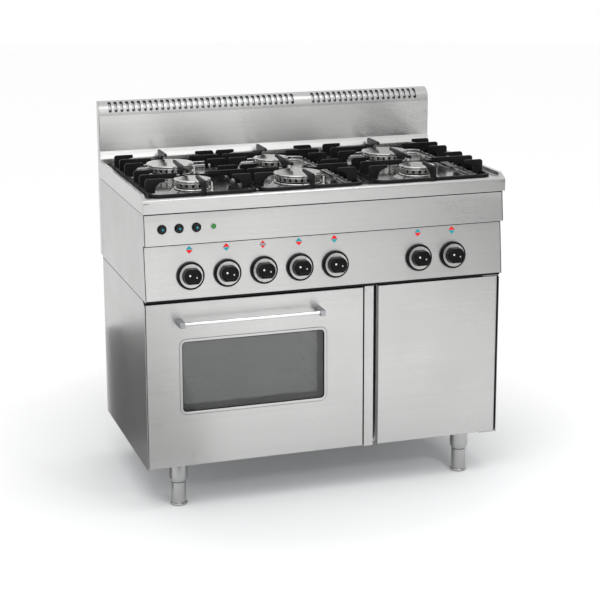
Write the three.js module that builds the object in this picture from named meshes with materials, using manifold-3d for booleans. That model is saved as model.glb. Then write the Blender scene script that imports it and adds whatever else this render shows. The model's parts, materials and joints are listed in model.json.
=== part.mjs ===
// Free-standing six-burner gas range with an oven and a side cupboard.
// Millimetres, +X to the right seen from the front, +Y to the back, +Z up.
// Heights are counted from the floor. Depths are counted from the doors' front plane, and the whole
// group is then moved so that the origin is under the middle of the range.
import * as THREE from 'three';
import { mergeVertices } from 'three/addons/utils/BufferGeometryUtils.js';
import Module from 'manifold-3d';

const wasm = await Module();
wasm.setup();

// ---- driving dimensions -------------------------------------------------------------------------
const HALF_WIDTH = 500;
const SHEET = 1.5;
const GAP = 0.3;
const OVERCUT = 1;

const BODY_BOTTOM = 118;
const BASE_Z = BODY_BOTTOM + 2;
const BODY_BACK = 533;
const SEAM_Z = 580;
const PANEL_BOTTOM_Z = 583;
const STEP_Z = 728;
const LIP_BOTTOM_Z = 812;
const WORKTOP_Z = 850;
const RIM_Z = 860;
const OVERALL_BACK = 562;
const OVERALL_HEIGHT = 1027;

const FACE_TILT = THREE.MathUtils.degToRad(6);
const PANEL_BOTTOM_Y = -13.5;
const FASCIA_BOTTOM_Y = -16;
const LIP_Y = -20;
const HANDLE_FRONT_Y = -46;
const DEPTH_CENTRE = (HANDLE_FRONT_Y + OVERALL_BACK) / 2;

const INSIDE = HALF_WIDTH - SHEET - GAP;
const FRAME_Y = 42;
const FRAME_BACK = FRAME_Y + SHEET + GAP;
const FRAME_TOP_Z = 577.7;
const PANEL_FRONT = BODY_BACK - SHEET - GAP;

const DOOR_BOTTOM = 122;
const DOOR_TOP = 570;
const OVEN_DOOR = { left: -497, right: 101, depth: 36, seamY: 20, hingeY: 10, hingeZ: 130, hingeInset: 45 };
const WINDOW = { left: -403.5, right: -9.5, bottom: 270.5, top: 464, radius: 12 };
const GLASS = { lap: 14, thickness: 5 };
const HANDLE = {
  ends: [-410.5, -28.5], z: 520.5, blockHalf: 7, blockRise: 8, bar: 4.5, barSetback: 8, barRise: 1,
};
const HINGE_PIN = 3;
const HINGE_BORE = 3.2;

const STILE = { left: 104, right: 130, recess: 30, recessRight: 146 };
const CUPBOARD_DOOR = { left: 144, right: 497, depth: 18 };
const CUPBOARD_OPENING = { left: 156, right: INSIDE - 22, bottom: 140, top: 556 };
const HINGE_PLATE = { front: 3, reach: 36, end: 6, thickness: 3, pinLength: 12 };
const CAVITY = { left: -470, right: 74, bottom: 190, top: 528, back: 498 };
const SEAL = { lap: 10, inner: 2 };
const RACK_LEVELS = [282, 335, 388, 441];
const RACK = { front: 62, back: 470, wire: 3, bar: 2, bars: 9, clearance: 3 };
const RUNNER = { reach: 9, top: 4, bottom: 7, frontInset: 12, backInset: 20 };
const OVEN_BURNER = {
  z: 158, tube: 11, feed: 7, left: -420, right: 10, feedEnd: 60, legYs: [150, 390], feedY: 270,
};
const DIVIDER_X = 116;
const STILE_SLOT = { bottom: 145, top: 550 };

const BURNER_ROWS = { front: 130, rear: 378 };
const WELL_FLOOR_Z = 838;
const COLLAR_Z = 844;
const CAP_TOP_Z = 871;
const SMALL_CAP = 49;
const LARGE_CAP = 66;
const BURNER = {
  bowlBottom: 822, seatZ: 850, crownTop: 863.5, crownInset: 5, wall: 7, bowlInset: 16, hub: 12,
};
const PORT = { pairs: 4, width: 6, height: 7, z: 858.5 };
const ZONES = {
  left: { x: -334, half: 143, front: SMALL_CAP, rear: LARGE_CAP },
  middle: { x: -41, half: 143, front: LARGE_CAP, rear: SMALL_CAP },
  right: { x: 303, half: 166, front: SMALL_CAP, rear: LARGE_CAP },
};
const WELLS = [{ left: -460, right: 84 }, { left: 156, right: 450 }];
const WELL = { front: 25, back: 492, radius: 35 };
const WORKTOP = { edge: 502, back: 528, nose: 10, rimTop: 7, rimFoot: 15, hem: 9, upstandHalf: 484 };

const GRATE = { front: -6, back: 514, bar: 9, base: 8, top: 888, fin: 7, pitch: 68, corner: 28 };
const RIB = {
  tipClearance: 8, widestTip: 60, sideReach: 55, innerReach: 45, sideFoot: 26, endFoot: 30, bridgeFoot: 6,
};

const KNOB_Z = 642;
const KNOB_XS = [-378.5, -279.5, -180.5, -81.5, 17.5, 255.5, 354.5];
const OVEN_KNOB = 2;
const KNOB = {
  start: 0.8, skirt: 37, skirtDepth: 13, grip: 25, gripHalf: 19, depth: 36, bore: 4.3, boreDepth: 14,
};
const TAP = { stem: 4, hole: 7, depth: 40, width: 26, height: 30, length: 22 };
const RAIL = { y: 44, radius: 11, z: KNOB_Z, overhang: 25 };
const GAS_INLET = { x: 462, y: 500, z: 540, pipe: 9, stub: 14, passage: 16 };

const BUTTON_XS = [-452, -407, -361];
const LAMP_X = -316;
const BUTTON_Z = 769.5;
const BUTTON = { radius: 10, stem: 7, travelGap: 4, height: 11 };

const LEG = { x: 408, frontY: 48, backY: 488, radius: 25, bottom: 66, bore: 15, plateHalf: 38 };
const FOOT = { radius: 20, pad: 23, padHeight: 8, stem: 13, stemTop: 108 };

const BACKGUARD = { y: 530, bendTop: 886, bendBottom: 866, foot: 852, bendDepth: 9 };
const GRILLE = {
  bottom: 988.5, springing: 995, radius: 32, pitch: 16.9, slot: 9, slotFoot: 997, slotEnd: OVERALL_BACK - 12,
  runs: [{ first: -467, count: 33 }, { first: 137, count: 20 }],
};
const FLUE_BOTTOM_Z = SEAM_Z + 5;

// ---- solids -------------------------------------------------------------------------------------
function solid(geometry) {
  const bare = geometry.clone();
  bare.deleteAttribute('normal');
  bare.deleteAttribute('uv');
  const merged = mergeVertices(bare, 1e-3);
  return new wasm.Manifold(new wasm.Mesh({
    numProp: 3,
    vertProperties: new Float32Array(merged.attributes.position.array),
    triVerts: new Uint32Array(merged.index.array),
  }));
}

function geometryOf(shape) {
  const mesh = shape.getMesh();
  const geometry = new THREE.BufferGeometry();
  geometry.setAttribute('position', new THREE.BufferAttribute(new Float32Array(mesh.vertProperties), 3));
  geometry.setIndex(new THREE.BufferAttribute(new Uint32Array(mesh.triVerts), 1));
  geometry.computeVertexNormals();
  return geometry;
}

function join(shapes) {
  return shapes.reduce((whole, next) => whole.add(next));
}

function cut(shape, tools) {
  return tools.reduce((whole, tool) => whole.subtract(tool), shape);
}

function box(x0, x1, y0, y1, z0, z1) {
  const geometry = new THREE.BoxGeometry(x1 - x0, y1 - y0, z1 - z0);
  return solid(geometry.translate((x0 + x1) / 2, (y0 + y1) / 2, (z0 + z1) / 2));
}

function outline(points) {
  return new THREE.Shape(points.map(([a, b]) => new THREE.Vector2(a, b)));
}

function extruded(profile, depth, curveSegments) {
  const shape = profile instanceof THREE.Shape ? profile : outline(profile);
  return new THREE.ExtrudeGeometry(shape, { depth, bevelEnabled: false, curveSegments });
}

// A profile of [y, z] points, run along X.
function alongX(profile, x0, x1) {
  const turn = new THREE.Matrix4().set(0, 0, 1, x0, 1, 0, 0, 0, 0, 1, 0, 0, 0, 0, 0, 1);
  return solid(extruded(profile, x1 - x0, 1).applyMatrix4(turn));
}

// A profile of [x, z] points, or a shape in X and Z, run along Y.
function alongY(profile, y0, y1, curveSegments = 4) {
  const turn = new THREE.Matrix4().set(1, 0, 0, 0, 0, 0, -1, y1, 0, 1, 0, 0, 0, 0, 0, 1);
  return solid(extruded(profile, y1 - y0, curveSegments).applyMatrix4(turn));
}

// A profile of [x, y] points, or a shape in X and Y, run along Z.
function alongZ(profile, z0, z1, curveSegments = 3) {
  return solid(extruded(profile, z1 - z0, curveSegments).translate(0, 0, z0));
}

function roundedRectangle(x0, x1, y0, y1, radius) {
  const shape = new THREE.Shape();
  shape.moveTo(x0 + radius, y0);
  shape.lineTo(x1 - radius, y0);
  shape.absarc(x1 - radius, y0 + radius, radius, -Math.PI / 2, 0);
  shape.lineTo(x1, y1 - radius);
  shape.absarc(x1 - radius, y1 - radius, radius, 0, Math.PI / 2);
  shape.lineTo(x0 + radius, y1);
  shape.absarc(x0 + radius, y1 - radius, radius, Math.PI / 2, Math.PI);
  shape.lineTo(x0, y0 + radius);
  shape.absarc(x0 + radius, y0 + radius, radius, Math.PI, 1.5 * Math.PI);
  return shape;
}

// Points of an arc from one angle to another, both in degrees.
function arc(centreA, centreB, radius, from, to, steps) {
  return Array.from({ length: steps + 1 }, (_, i) => {
    const angle = THREE.MathUtils.degToRad(from + ((to - from) * i) / steps);
    return [centreA + radius * Math.cos(angle), centreB + radius * Math.sin(angle)];
  });
}

// A turned solid about its own Z axis, from [radius, z] points that start and end on the axis.
function turned(points, segments = 16) {
  const profile = points.map(([r, z]) => new THREE.Vector2(r, z));
  return solid(new THREE.LatheGeometry(profile, segments).rotateX(Math.PI / 2));
}

function disc(radius, z0, z1, segments) {
  return turned([[0, z0], [radius, z0], [radius, z1], [0, z1]], segments);
}

// A round bar along one axis. a and b place it on the other two axes, in X, Y, Z order.
function rod(axis, radius, from, to, a, b, segments = 12) {
  const upright = disc(radius, from, to, segments);
  if (axis === 'x') return upright.rotate([0, 90, 0]).translate([0, a, b]);
  if (axis === 'y') return upright.rotate([-90, 0, 0]).translate([a, 0, b]);
  return upright.translate([a, b, 0]);
}

// A block centred on its own axis, from one height to another.
function block(width, depth, z0, z1) {
  return box(-width / 2, width / 2, -depth / 2, depth / 2, z0, z1);
}

// Turns a solid made about +Z so that +Z points out of the tilted front faces.
function facingFront(shape, x, y, z) {
  return shape.rotate([90 - THREE.MathUtils.radToDeg(FACE_TILT), 0, 0]).translate([x, y, z]);
}

const panelY = (z) => PANEL_BOTTOM_Y + (z - PANEL_BOTTOM_Z) * Math.tan(FACE_TILT);
const fasciaY = (z) => FASCIA_BOTTOM_Y + (z - STEP_Z) * Math.tan(FACE_TILT);

// ---- materials ----------------------------------------------------------------------------------
const material = (color, roughness, metalness) =>
  new THREE.MeshStandardMaterial({ color, roughness, metalness });
const stainless = material(0xc4c4c2, 0.35, 1);
const darkSteel = material(0x55565a, 0.5, 1);
const enamel = material(0x2b2d30, 0.35, 0);
const castIron = material(0x232427, 0.7, 0.4);
const aluminium = material(0xcfd0d0, 0.35, 1);
const blackPlastic = material(0x141415, 0.4, 0);
const rubber = material(0x1c1c1d, 0.85, 0);
const ovenGlass = new THREE.MeshStandardMaterial({
  color: 0x6d7072, roughness: 0.08, metalness: 0, transparent: true, opacity: 0.5,
});
const greenLens = material(0x3da53a, 0.2, 0);

// ---- the range ----------------------------------------------------------------------------------
const range = new THREE.Group();
range.position.y = -DEPTH_CENTRE;

function piece(name, finish, shape) {
  const mesh = new THREE.Mesh(geometryOf(shape), finish);
  mesh.name = name;
  range.add(mesh);
  return mesh;
}

// A piece drawn about its own +Z, set on a tilted front face.
function frontPiece(name, finish, shape, x, y, z) {
  const mesh = piece(name, finish, shape);
  mesh.rotation.x = Math.PI / 2 - FACE_TILT;
  mesh.position.set(x, y, z);
}

function forEachBurner(place) {
  for (const [zone, { x, front, rear }] of Object.entries(ZONES)) {
    place(x, BURNER_ROWS.front, front, `front_${zone}`);
    place(x, BURNER_ROWS.rear, rear, `rear_${zone}`);
  }
}

// ---- top ----------------------------------------------------------------------------------------
// A side rim's cross-section: level on top, sloping down to the plate on its inner side.
function rimSection(side) {
  const { edge, rimTop, rimFoot } = WORKTOP;
  const root = WORKTOP_Z - 2;
  return [
    [side * edge, root], [side * edge, RIM_Z], [side * (edge - rimTop), RIM_Z],
    [side * (edge - rimFoot), WORKTOP_Z - 1], [side * (edge - rimFoot), root],
  ];
}

function worktop() {
  const { edge, back, nose, hem, upstandHalf } = WORKTOP;
  const inside = edge - SHEET;
  const underside = WORKTOP_Z - SHEET;
  const pastBack = back + OVERCUT;
  const noseArc = (radius) => arc(LIP_Y + nose, WORKTOP_Z - nose, radius, 180, 90, 4);
  const outer = [[LIP_Y, LIP_BOTTOM_Z], ...noseArc(nose), [back, WORKTOP_Z], [back, LIP_BOTTOM_Z]];
  const inner = [
    [LIP_Y + SHEET, LIP_BOTTOM_Z + SHEET], ...noseArc(nose - SHEET), [pastBack, underside],
    [pastBack, LIP_BOTTOM_Z + SHEET],
  ];
  const openUnderside = box(-inside, inside, LIP_Y + hem, pastBack, LIP_BOTTOM_Z - OVERCUT,
    LIP_BOTTOM_Z + 2 * SHEET);
  let top = cut(alongX(outer, -edge, edge), [alongX(inner, -inside, inside), openUnderside]);

  // The side rims fall away into the nose at the front.
  const rimFall = arc(12, RIM_Z - 16, 16, 125, 90, 2);
  const rimSide = [[LIP_Y, LIP_BOTTOM_Z], ...noseArc(nose), ...rimFall, [back, RIM_Z], [back, LIP_BOTTOM_Z]];
  for (const side of [-1, 1]) {
    const bar = alongY(rimSection(side), LIP_Y, back);
    top = top.add(bar.intersect(alongX(rimSide, -edge - OVERCUT, edge + OVERCUT)));
  }
  top = top.add(box(-upstandHalf, upstandHalf, back - SHEET, back, underside, RIM_Z + 2));

  for (const { left, right } of WELLS) {
    const wellShape = (grow) => roundedRectangle(left - grow, right + grow, WELL.front - grow,
      WELL.back + grow, WELL.radius + grow);
    top = top.add(alongZ(wellShape(SHEET), WELL_FLOOR_Z - SHEET, WORKTOP_Z - 0.5));
    top = top.subtract(alongZ(wellShape(0), WELL_FLOOR_Z, WORKTOP_Z + OVERCUT));
  }
  forEachBurner((x, y, cap) => {
    const skirt = cap + 14;
    const collar = turned([
      [0, WELL_FLOOR_Z - 1], [skirt, WELL_FLOOR_Z - 1], [skirt, WELL_FLOOR_Z + 1], [cap + 4, COLLAR_Z],
      [0, COLLAR_Z],
    ]);
    const hole = disc(cap - 14, WELL_FLOOR_Z - 5, COLLAR_Z + OVERCUT, 16);
    top = top.add(collar.translate([x, y, 0])).subtract(hole.translate([x, y, 0]));
  });
  piece('worktop', stainless, top);
}

function burners() {
  const { bowlBottom, seatZ, crownTop, crownInset, wall, bowlInset, hub } = BURNER;
  forEachBurner((x, y, cap, place) => {
    const crown = cap - crownInset;
    const bowl = cap - bowlInset;
    const body = turned([
      [0, bowlBottom], [bowl - 6, bowlBottom], [bowl, bowlBottom + 10], [bowl, COLLAR_Z + GAP],
      [cap, COLLAR_Z + GAP], [cap, COLLAR_Z + 4], [crown, COLLAR_Z + 6], [crown, crownTop],
      [crown - wall, crownTop], [crown - wall, seatZ], [0, seatZ],
    ]);
    const ports = Array.from({ length: PORT.pairs }, (_, i) =>
      block(2.2 * crown, PORT.width, PORT.z - PORT.height / 2, PORT.z + PORT.height / 2)
        .rotate([0, 0, (i * 180) / PORT.pairs]));
    const injector = disc(hub, seatZ - OVERCUT, seatZ + 10, 8);
    piece(`burner_${place}`, aluminium, cut(body, ports).add(injector).translate([x, y, 0]));
    const lid = turned([
      [0, crownTop + GAP], [cap - 1, crownTop + GAP], [cap, crownTop + 2.3], [cap - 8, CAP_TOP_Z],
      [0, CAP_TOP_Z],
    ], 20);
    piece(`burner_cap_${place}`, aluminium, lid.translate([x, y, 0]));
  });
}

// The free end and the curved underside of a pan-support rib, as [distance from its root, height].
function ribTip(length, foot) {
  const top = GRATE.top;
  const endZ = top - 9;
  const rootZ = WORKTOP_Z + 6;
  const steps = 3;
  const underside = Array.from({ length: steps + 1 }, (_, i) => {
    const angle = (Math.PI / 2) * (i / steps);
    return [foot + (length - 3 - foot) * (1 - Math.sin(angle)), rootZ + (endZ - rootZ) * Math.cos(angle)];
  });
  return [[length - 4, top], [length, top - 4], ...underside, [foot, WORKTOP_Z + GAP]];
}

// A whole rib: its outer end stands on the frame bar.
function rib(length, foot) {
  return [[0, WORKTOP_Z + GAP], [0, GRATE.top - 6], [6, GRATE.top], ...ribTip(length, foot)];
}

function grateFrame(x, half) {
  const { front, back, bar, base, corner } = GRATE;
  const low = WORKTOP_Z + GAP;
  const middleY = (front + back) / 2;
  const outer = roundedRectangle(x - half, x + half, front, back, corner);
  const inner = roundedRectangle(x - half + bar, x + half - bar, front + bar, back - bar, corner - bar);
  const ring = alongZ(outer, low, low + base).subtract(alongZ(inner, low - OVERCUT, low + base + OVERCUT));
  const crossbar = box(x - half + 2, x + half - 2, middleY - bar / 2, middleY + bar / 2, low, low + base);
  return [ring, crossbar];
}

// Three ribs from each side of the frame towards one burner.
function sideRibs(x, half, row, cap) {
  const middleReach = half - Math.min(cap, RIB.widestTip) + RIB.tipClearance;
  const outerReach = RIB.sideReach;
  return [-1, 0, 1].flatMap((offset) => {
    const y = row + offset * GRATE.pitch;
    const profile = rib(offset === 0 ? middleReach : outerReach, RIB.sideFoot);
    const fromLeft = profile.map(([u, z]) => [x - half + u, z]);
    const fromRight = profile.map(([u, z]) => [x + half - u, z]);
    return [fromLeft, fromRight].map((side) => alongY(side, y - GRATE.fin / 2, y + GRATE.fin / 2));
  });
}

// The ribs over the zone's centre line: one from each end of the frame and a bridge between the burners.
function centreRibs(x) {
  const { front, back, fin } = GRATE;
  const middleY = (front + back) / 2;
  const endReach = BURNER_ROWS.front - RIB.innerReach - front;
  const bridgeReach = middleY - BURNER_ROWS.front - RIB.innerReach;
  const frontRib = rib(endReach, RIB.endFoot).map(([u, z]) => [front + u, z]);
  const rearRib = rib(endReach, RIB.endFoot).map(([u, z]) => [back - u, z]);
  const halfBridge = ribTip(bridgeReach, RIB.bridgeFoot);
  const bridge = [
    ...halfBridge.map(([u, z]) => [middleY + u, z]),
    ...halfBridge.reverse().map(([u, z]) => [middleY - u, z]),
  ];
  return [frontRib, rearRib, bridge].map((profile) => alongX(profile, x - fin / 2, x + fin / 2));
}

function grates() {
  for (const [zone, { x, half, front, rear }] of Object.entries(ZONES)) {
    piece(`grate_${zone}`, castIron, join([
      ...grateFrame(x, half),
      ...sideRibs(x, half, BURNER_ROWS.front, front),
      ...sideRibs(x, half, BURNER_ROWS.rear, rear),
      ...centreRibs(x),
    ]));
  }
}

// ---- cabinet ------------------------------------------------------------------------------------
function upperFascia() {
  const top = WORKTOP_Z - 12;
  const flangeBack = panelY(STEP_Z) - GAP;
  const profile = [
    [fasciaY(STEP_Z), STEP_Z], [flangeBack, STEP_Z], [flangeBack, STEP_Z + SHEET],
    [fasciaY(STEP_Z) + SHEET, STEP_Z + SHEET], [fasciaY(top) + SHEET, top], [fasciaY(top), top],
  ];
  const holes = [...BUTTON_XS, LAMP_X].map((x) =>
    facingFront(disc(BUTTON.stem + 0.5, -20, 20, 12), x, fasciaY(BUTTON_Z), BUTTON_Z));
  piece('upper_fascia', stainless, cut(alongX(profile, -INSIDE, INSIDE), holes));
}

function controlPanel() {
  const top = STEP_Z + 30;
  const flangeY = 30;
  const profile = [
    [panelY(PANEL_BOTTOM_Z), PANEL_BOTTOM_Z], [flangeY, PANEL_BOTTOM_Z], [flangeY, PANEL_BOTTOM_Z + SHEET],
    [panelY(PANEL_BOTTOM_Z) + SHEET, PANEL_BOTTOM_Z + SHEET], [panelY(top) + SHEET, top],
    [panelY(top), top],
  ];
  const holes = KNOB_XS.map((x) => facingFront(disc(TAP.hole, -20, 20, 8), x, panelY(KNOB_Z), KNOB_Z));
  piece('control_panel', stainless, cut(alongX(profile, -INSIDE, INSIDE), holes));
}

function sidePanels() {
  const upperTop = WORKTOP_Z - 4;
  const upper = [
    [panelY(SEAM_Z + GAP), SEAM_Z + GAP], [panelY(STEP_Z - 1), STEP_Z - 1], [fasciaY(STEP_Z) + 3, STEP_Z],
    [fasciaY(STEP_Z + 3), STEP_Z + 3], [fasciaY(upperTop), upperTop], [BODY_BACK, upperTop],
    [BODY_BACK, SEAM_Z + GAP],
  ];
  const lowerTop = SEAM_Z - GAP;
  const lower = [
    [0, BODY_BOTTOM], [0, lowerTop - 14], [20, lowerTop], [BODY_BACK, lowerTop], [BODY_BACK, BODY_BOTTOM],
  ];
  const flange = 14;
  for (const [side, sign] of [['left', -1], ['right', 1]]) {
    const [x0, x1] = [sign * HALF_WIDTH, sign * (HALF_WIDTH - SHEET)].sort((a, b) => a - b);
    const [hem0, hem1] = [sign * (INSIDE + 2 * GAP), sign * (INSIDE - flange)].sort((a, b) => a - b);
    const hem = box(hem0, hem1, BODY_BACK - SHEET, BODY_BACK, BODY_BOTTOM + 6, lowerTop);
    piece(`upper_side_${side}`, stainless, alongX(upper, x0, x1));
    piece(`lower_side_${side}`, stainless, alongX(lower, x0, x1).add(hem));
  }
}

function backPanel() {
  const edge = HALF_WIDTH - 1;
  const y0 = BODY_BACK + GAP;
  const sheet = box(-edge, edge, y0, y0 + SHEET, BODY_BOTTOM, WORKTOP_Z - 4);
  const ventHalf = 55;
  const vents = [-150, 0, 150].map((x) =>
    box(x - ventHalf, x + ventHalf, y0 - OVERCUT, y0 + SHEET + OVERCUT, 700, 712));
  const { x: inletX, z: inletZ, passage } = GAS_INLET;
  const inletHole = rod('y', passage, y0 - OVERCUT, y0 + SHEET + OVERCUT, inletX, inletZ, 16);
  piece('back_panel', darkSteel, cut(sheet, [...vents, inletHole]));
}

function basePanel() {
  const plate = box(-INSIDE, INSIDE, FRAME_BACK, PANEL_FRONT, BASE_Z, BASE_Z + SHEET);
  const slotHalf = 60;
  const slots = [-300, -100, 100].map((x) =>
    box(x - slotHalf, x + slotHalf, 280, 292, BASE_Z - OVERCUT, BASE_Z + SHEET + OVERCUT));
  piece('base_panel', darkSteel, cut(plate, slots));
}

// The stile between the doors, with the finger recess on its right, as an outline in X and Y.
function stileOutline(inset, back) {
  const { left, right, recess, recessRight } = STILE;
  return [
    [left + inset, inset], [right - inset, inset], [right - inset, recess + inset],
    [recessRight - inset, recess + inset], [recessRight - inset, back], [left + inset, back],
  ];
}

// Wall between the oven and the cupboard. Its front edge passes through a slot and carries the stile.
function dividerWall() {
  const x = [DIVIDER_X, DIVIDER_X + SHEET];
  const wall = box(...x, FRAME_BACK, PANEL_FRONT, BASE_Z + SHEET + GAP, SEAM_Z - 6);
  const tongue = box(...x, SHEET / 2, FRAME_BACK + 1, STILE_SLOT.bottom + GAP, STILE_SLOT.top - GAP);
  const postTop = DOOR_TOP + 2;
  const postBack = FRAME_Y - GAP;
  const post = alongZ(stileOutline(0, postBack), BASE_Z, postTop);
  const postHollow = alongZ(stileOutline(SHEET, postBack + OVERCUT), BASE_Z - OVERCUT, postTop - SHEET);
  piece('divider_wall', stainless, join([cut(post, [postHollow]), tongue, wall]));
}

const ovenHingeXs = [OVEN_DOOR.left + OVEN_DOOR.hingeInset, OVEN_DOOR.right - OVEN_DOOR.hingeInset];

// Face frame behind both doors, with the lugs and pins that the oven door turns on.
function frontFrame() {
  const { hingeY, hingeZ } = OVEN_DOOR;
  const through = [FRAME_Y - OVERCUT, FRAME_Y + SHEET + OVERCUT];
  const face = box(-INSIDE, INSIDE, FRAME_Y, FRAME_Y + SHEET, BASE_Z, FRAME_TOP_Z);
  const oven = box(CAVITY.left, CAVITY.right, ...through, CAVITY.bottom, CAVITY.top);
  const { left, right, bottom, top } = CUPBOARD_OPENING;
  const cupboard = box(left, right, ...through, bottom, top);
  const slotXs = [DIVIDER_X - GAP, DIVIDER_X + SHEET + GAP];
  const stileSlot = box(...slotXs, ...through, STILE_SLOT.bottom, STILE_SLOT.top);
  const supports = ovenHingeXs.flatMap((x) => [
    box(x - 3, x + 3, hingeY - 5, FRAME_Y + 0.5, hingeZ - 4, hingeZ + 5),
    rod('x', HINGE_PIN, x - 12, x + 12, hingeY, hingeZ),
  ]);
  piece('front_frame', stainless, join([cut(face, [oven, cupboard, stileSlot]), ...supports]));
}

function legsAndFeet() {
  const { x: legX, frontY, backY, radius, bottom, bore, plateHalf } = LEG;
  const top = BASE_Z - GAP;
  const plateThickness = 3;
  for (const [side, x] of [['left', -legX], ['right', legX]]) {
    for (const [end, y, inward] of [['front', frontY, 1], ['rear', backY, -1]]) {
      const plateYs = [y - inward * 26, y + inward * 70].sort((a, b) => a - b);
      const plate = box(x - plateHalf, x + plateHalf, ...plateYs, top - plateThickness, top);
      const tube = turned([
        [0, bottom + GAP], [FOOT.radius + 1, bottom + GAP], [radius, bottom + 12], [radius, top - 1],
        [0, top - 1],
      ]);
      const hole = disc(bore, bottom - OVERCUT, FOOT.stemTop + 2, 12);
      piece(`leg_${end}_${side}`, stainless, tube.subtract(hole).translate([x, y, 0]).add(plate));
      const foot = turned([
        [0, 0], [FOOT.pad, 0], [FOOT.pad, FOOT.padHeight], [FOOT.radius, FOOT.padHeight + 2],
        [FOOT.radius, bottom], [FOOT.stem, bottom], [FOOT.stem, FOOT.stemTop], [0, FOOT.stemTop],
      ]);
      piece(`foot_${end}_${side}`, stainless, foot.translate([x, y, 0]));
    }
  }
}

// ---- flue ---------------------------------------------------------------------------------------
function backguard() {
  const { y, bendTop, bendBottom, foot, bendDepth } = BACKGUARD;
  const top = GRILLE.bottom - GAP;
  const footY = y - bendDepth;
  const sheet = [
    [y, top], [y, bendTop], [footY, bendBottom], [footY, foot], [footY + SHEET, foot],
    [footY + SHEET, bendBottom - 0.5], [y + SHEET, bendTop - 0.5], [y + SHEET, top],
  ];
  const cheekBottom = RIM_Z + 2;
  const cheekBack = y + 5;
  const cheek = [
    [y, top], [y, bendTop], [footY, bendBottom], [footY, cheekBottom], [cheekBack, cheekBottom],
    [cheekBack, top],
  ];
  const notch = (x0, x1) => box(x0, x1, footY - OVERCUT, cheekBack, foot - OVERCUT, cheekBottom);
  const notchX = WORKTOP.upstandHalf - 2;
  const panel = cut(alongX(sheet, -HALF_WIDTH, HALF_WIDTH), [
    notch(-HALF_WIDTH - OVERCUT, -notchX), notch(notchX, HALF_WIDTH + OVERCUT),
  ]);
  piece('backguard', stainless, join([
    panel,
    alongX(cheek, -HALF_WIDTH, -HALF_WIDTH + SHEET),
    alongX(cheek, HALF_WIDTH - SHEET, HALF_WIDTH),
  ]));
}

function flueGrille() {
  const { bottom, springing, radius, pitch, slot, slotFoot, slotEnd, runs } = GRILLE;
  const y = OVERALL_BACK - radius;
  const profile = [
    [y, bottom], ...arc(OVERALL_BACK, springing, radius, 180, 90, 3),
    ...arc(OVERALL_BACK, springing, radius - SHEET, 90, 180, 3), [y + SHEET, bottom],
  ];
  const slots = runs.flatMap(({ first, count }) => Array.from({ length: count }, (_, i) => {
    const x = first + i * pitch;
    return box(x - slot / 2, x + slot / 2, y - OVERCUT, slotEnd, slotFoot, OVERALL_HEIGHT + OVERCUT);
  }));
  piece('flue_grille', stainless, cut(alongX(profile, -INSIDE, INSIDE), slots));
}

// Channel behind the cabinet that carries the oven's fumes up to the grille.
function flueHousing() {
  const { bottom, springing, radius } = GRILLE;
  const front = BODY_BACK + SHEET + 2 * GAP;
  const cheek = [
    [front, FLUE_BOTTOM_Z], [OVERALL_BACK, FLUE_BOTTOM_Z], [OVERALL_BACK, OVERALL_HEIGHT],
    ...arc(OVERALL_BACK, springing, radius, 90, 180, 3), [OVERALL_BACK - radius, bottom],
    [front + 1, bottom], [front + 1, FLUE_BOTTOM_Z + 4],
  ];
  const backTop = OVERALL_HEIGHT - 2 * SHEET;
  piece('flue_housing', stainless, join([
    box(-HALF_WIDTH, HALF_WIDTH, OVERALL_BACK - SHEET, OVERALL_BACK, FLUE_BOTTOM_Z, backTop),
    box(-HALF_WIDTH, HALF_WIDTH, front, OVERALL_BACK, FLUE_BOTTOM_Z, FLUE_BOTTOM_Z + SHEET),
    alongX(cheek, -HALF_WIDTH, -HALF_WIDTH + SHEET),
    alongX(cheek, HALF_WIDTH - SHEET, HALF_WIDTH),
  ]));
}

// ---- oven ---------------------------------------------------------------------------------------
function ovenLiner() {
  const { left, right, bottom, top, back } = CAVITY;
  const wall = 2;
  const shell = box(left - wall, right + wall, FRAME_BACK, back + wall, bottom - wall, top + wall);
  const room = box(left, right, FRAME_BACK - OVERCUT, back, bottom, top);
  const y0 = FRAME_BACK + RUNNER.frontInset;
  const y1 = back - RUNNER.backInset;
  const runners = RACK_LEVELS.flatMap((z) => [
    box(left - 0.5, left + RUNNER.reach, y0, y1, z - RUNNER.bottom, z - RUNNER.top),
    box(right - RUNNER.reach, right + 0.5, y0, y1, z - RUNNER.bottom, z - RUNNER.top),
  ]);
  const fumeOutlet = box(-40, 40, back - OVERCUT, back + wall + OVERCUT, top - 40, top - 20);
  piece('oven_liner', enamel, cut(join([shell.subtract(room), ...runners]), [fumeOutlet]));
}

function ovenSeal() {
  const { left, right, bottom, top } = CAVITY;
  const ring = (grow, y0, y1) => box(left - grow, right + grow, y0, y1, bottom - grow, top + grow);
  const y0 = OVEN_DOOR.depth + GAP;
  const y1 = FRAME_Y - GAP;
  piece('oven_seal', rubber, ring(SEAL.lap, y0, y1).subtract(ring(SEAL.inner, y0 - OVERCUT, y1 + OVERCUT)));
}

function ovenRack() {
  const { front, back, wire, bar, bars, clearance } = RACK;
  const z = RACK_LEVELS[0];
  const left = CAVITY.left + clearance;
  const right = CAVITY.right - clearance;
  const wireAlongX = (y) => box(left, right, y - wire, y + wire, z - wire, z + wire);
  const wireAlongY = (x, r, middleZ) =>
    box(x - r, x + r, front - wire, back + wire, middleZ - r, middleZ + r);
  const spacing = (right - left) / (bars + 1);
  piece('oven_rack', aluminium, join([
    ...[front, (front + back) / 2, back].map(wireAlongX),
    ...[left + wire, right - wire].map((x) => wireAlongY(x, wire, z)),
    ...Array.from({ length: bars }, (_, i) => wireAlongY(left + spacing * (i + 1), bar, z + 3.5)),
  ]));
}

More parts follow.
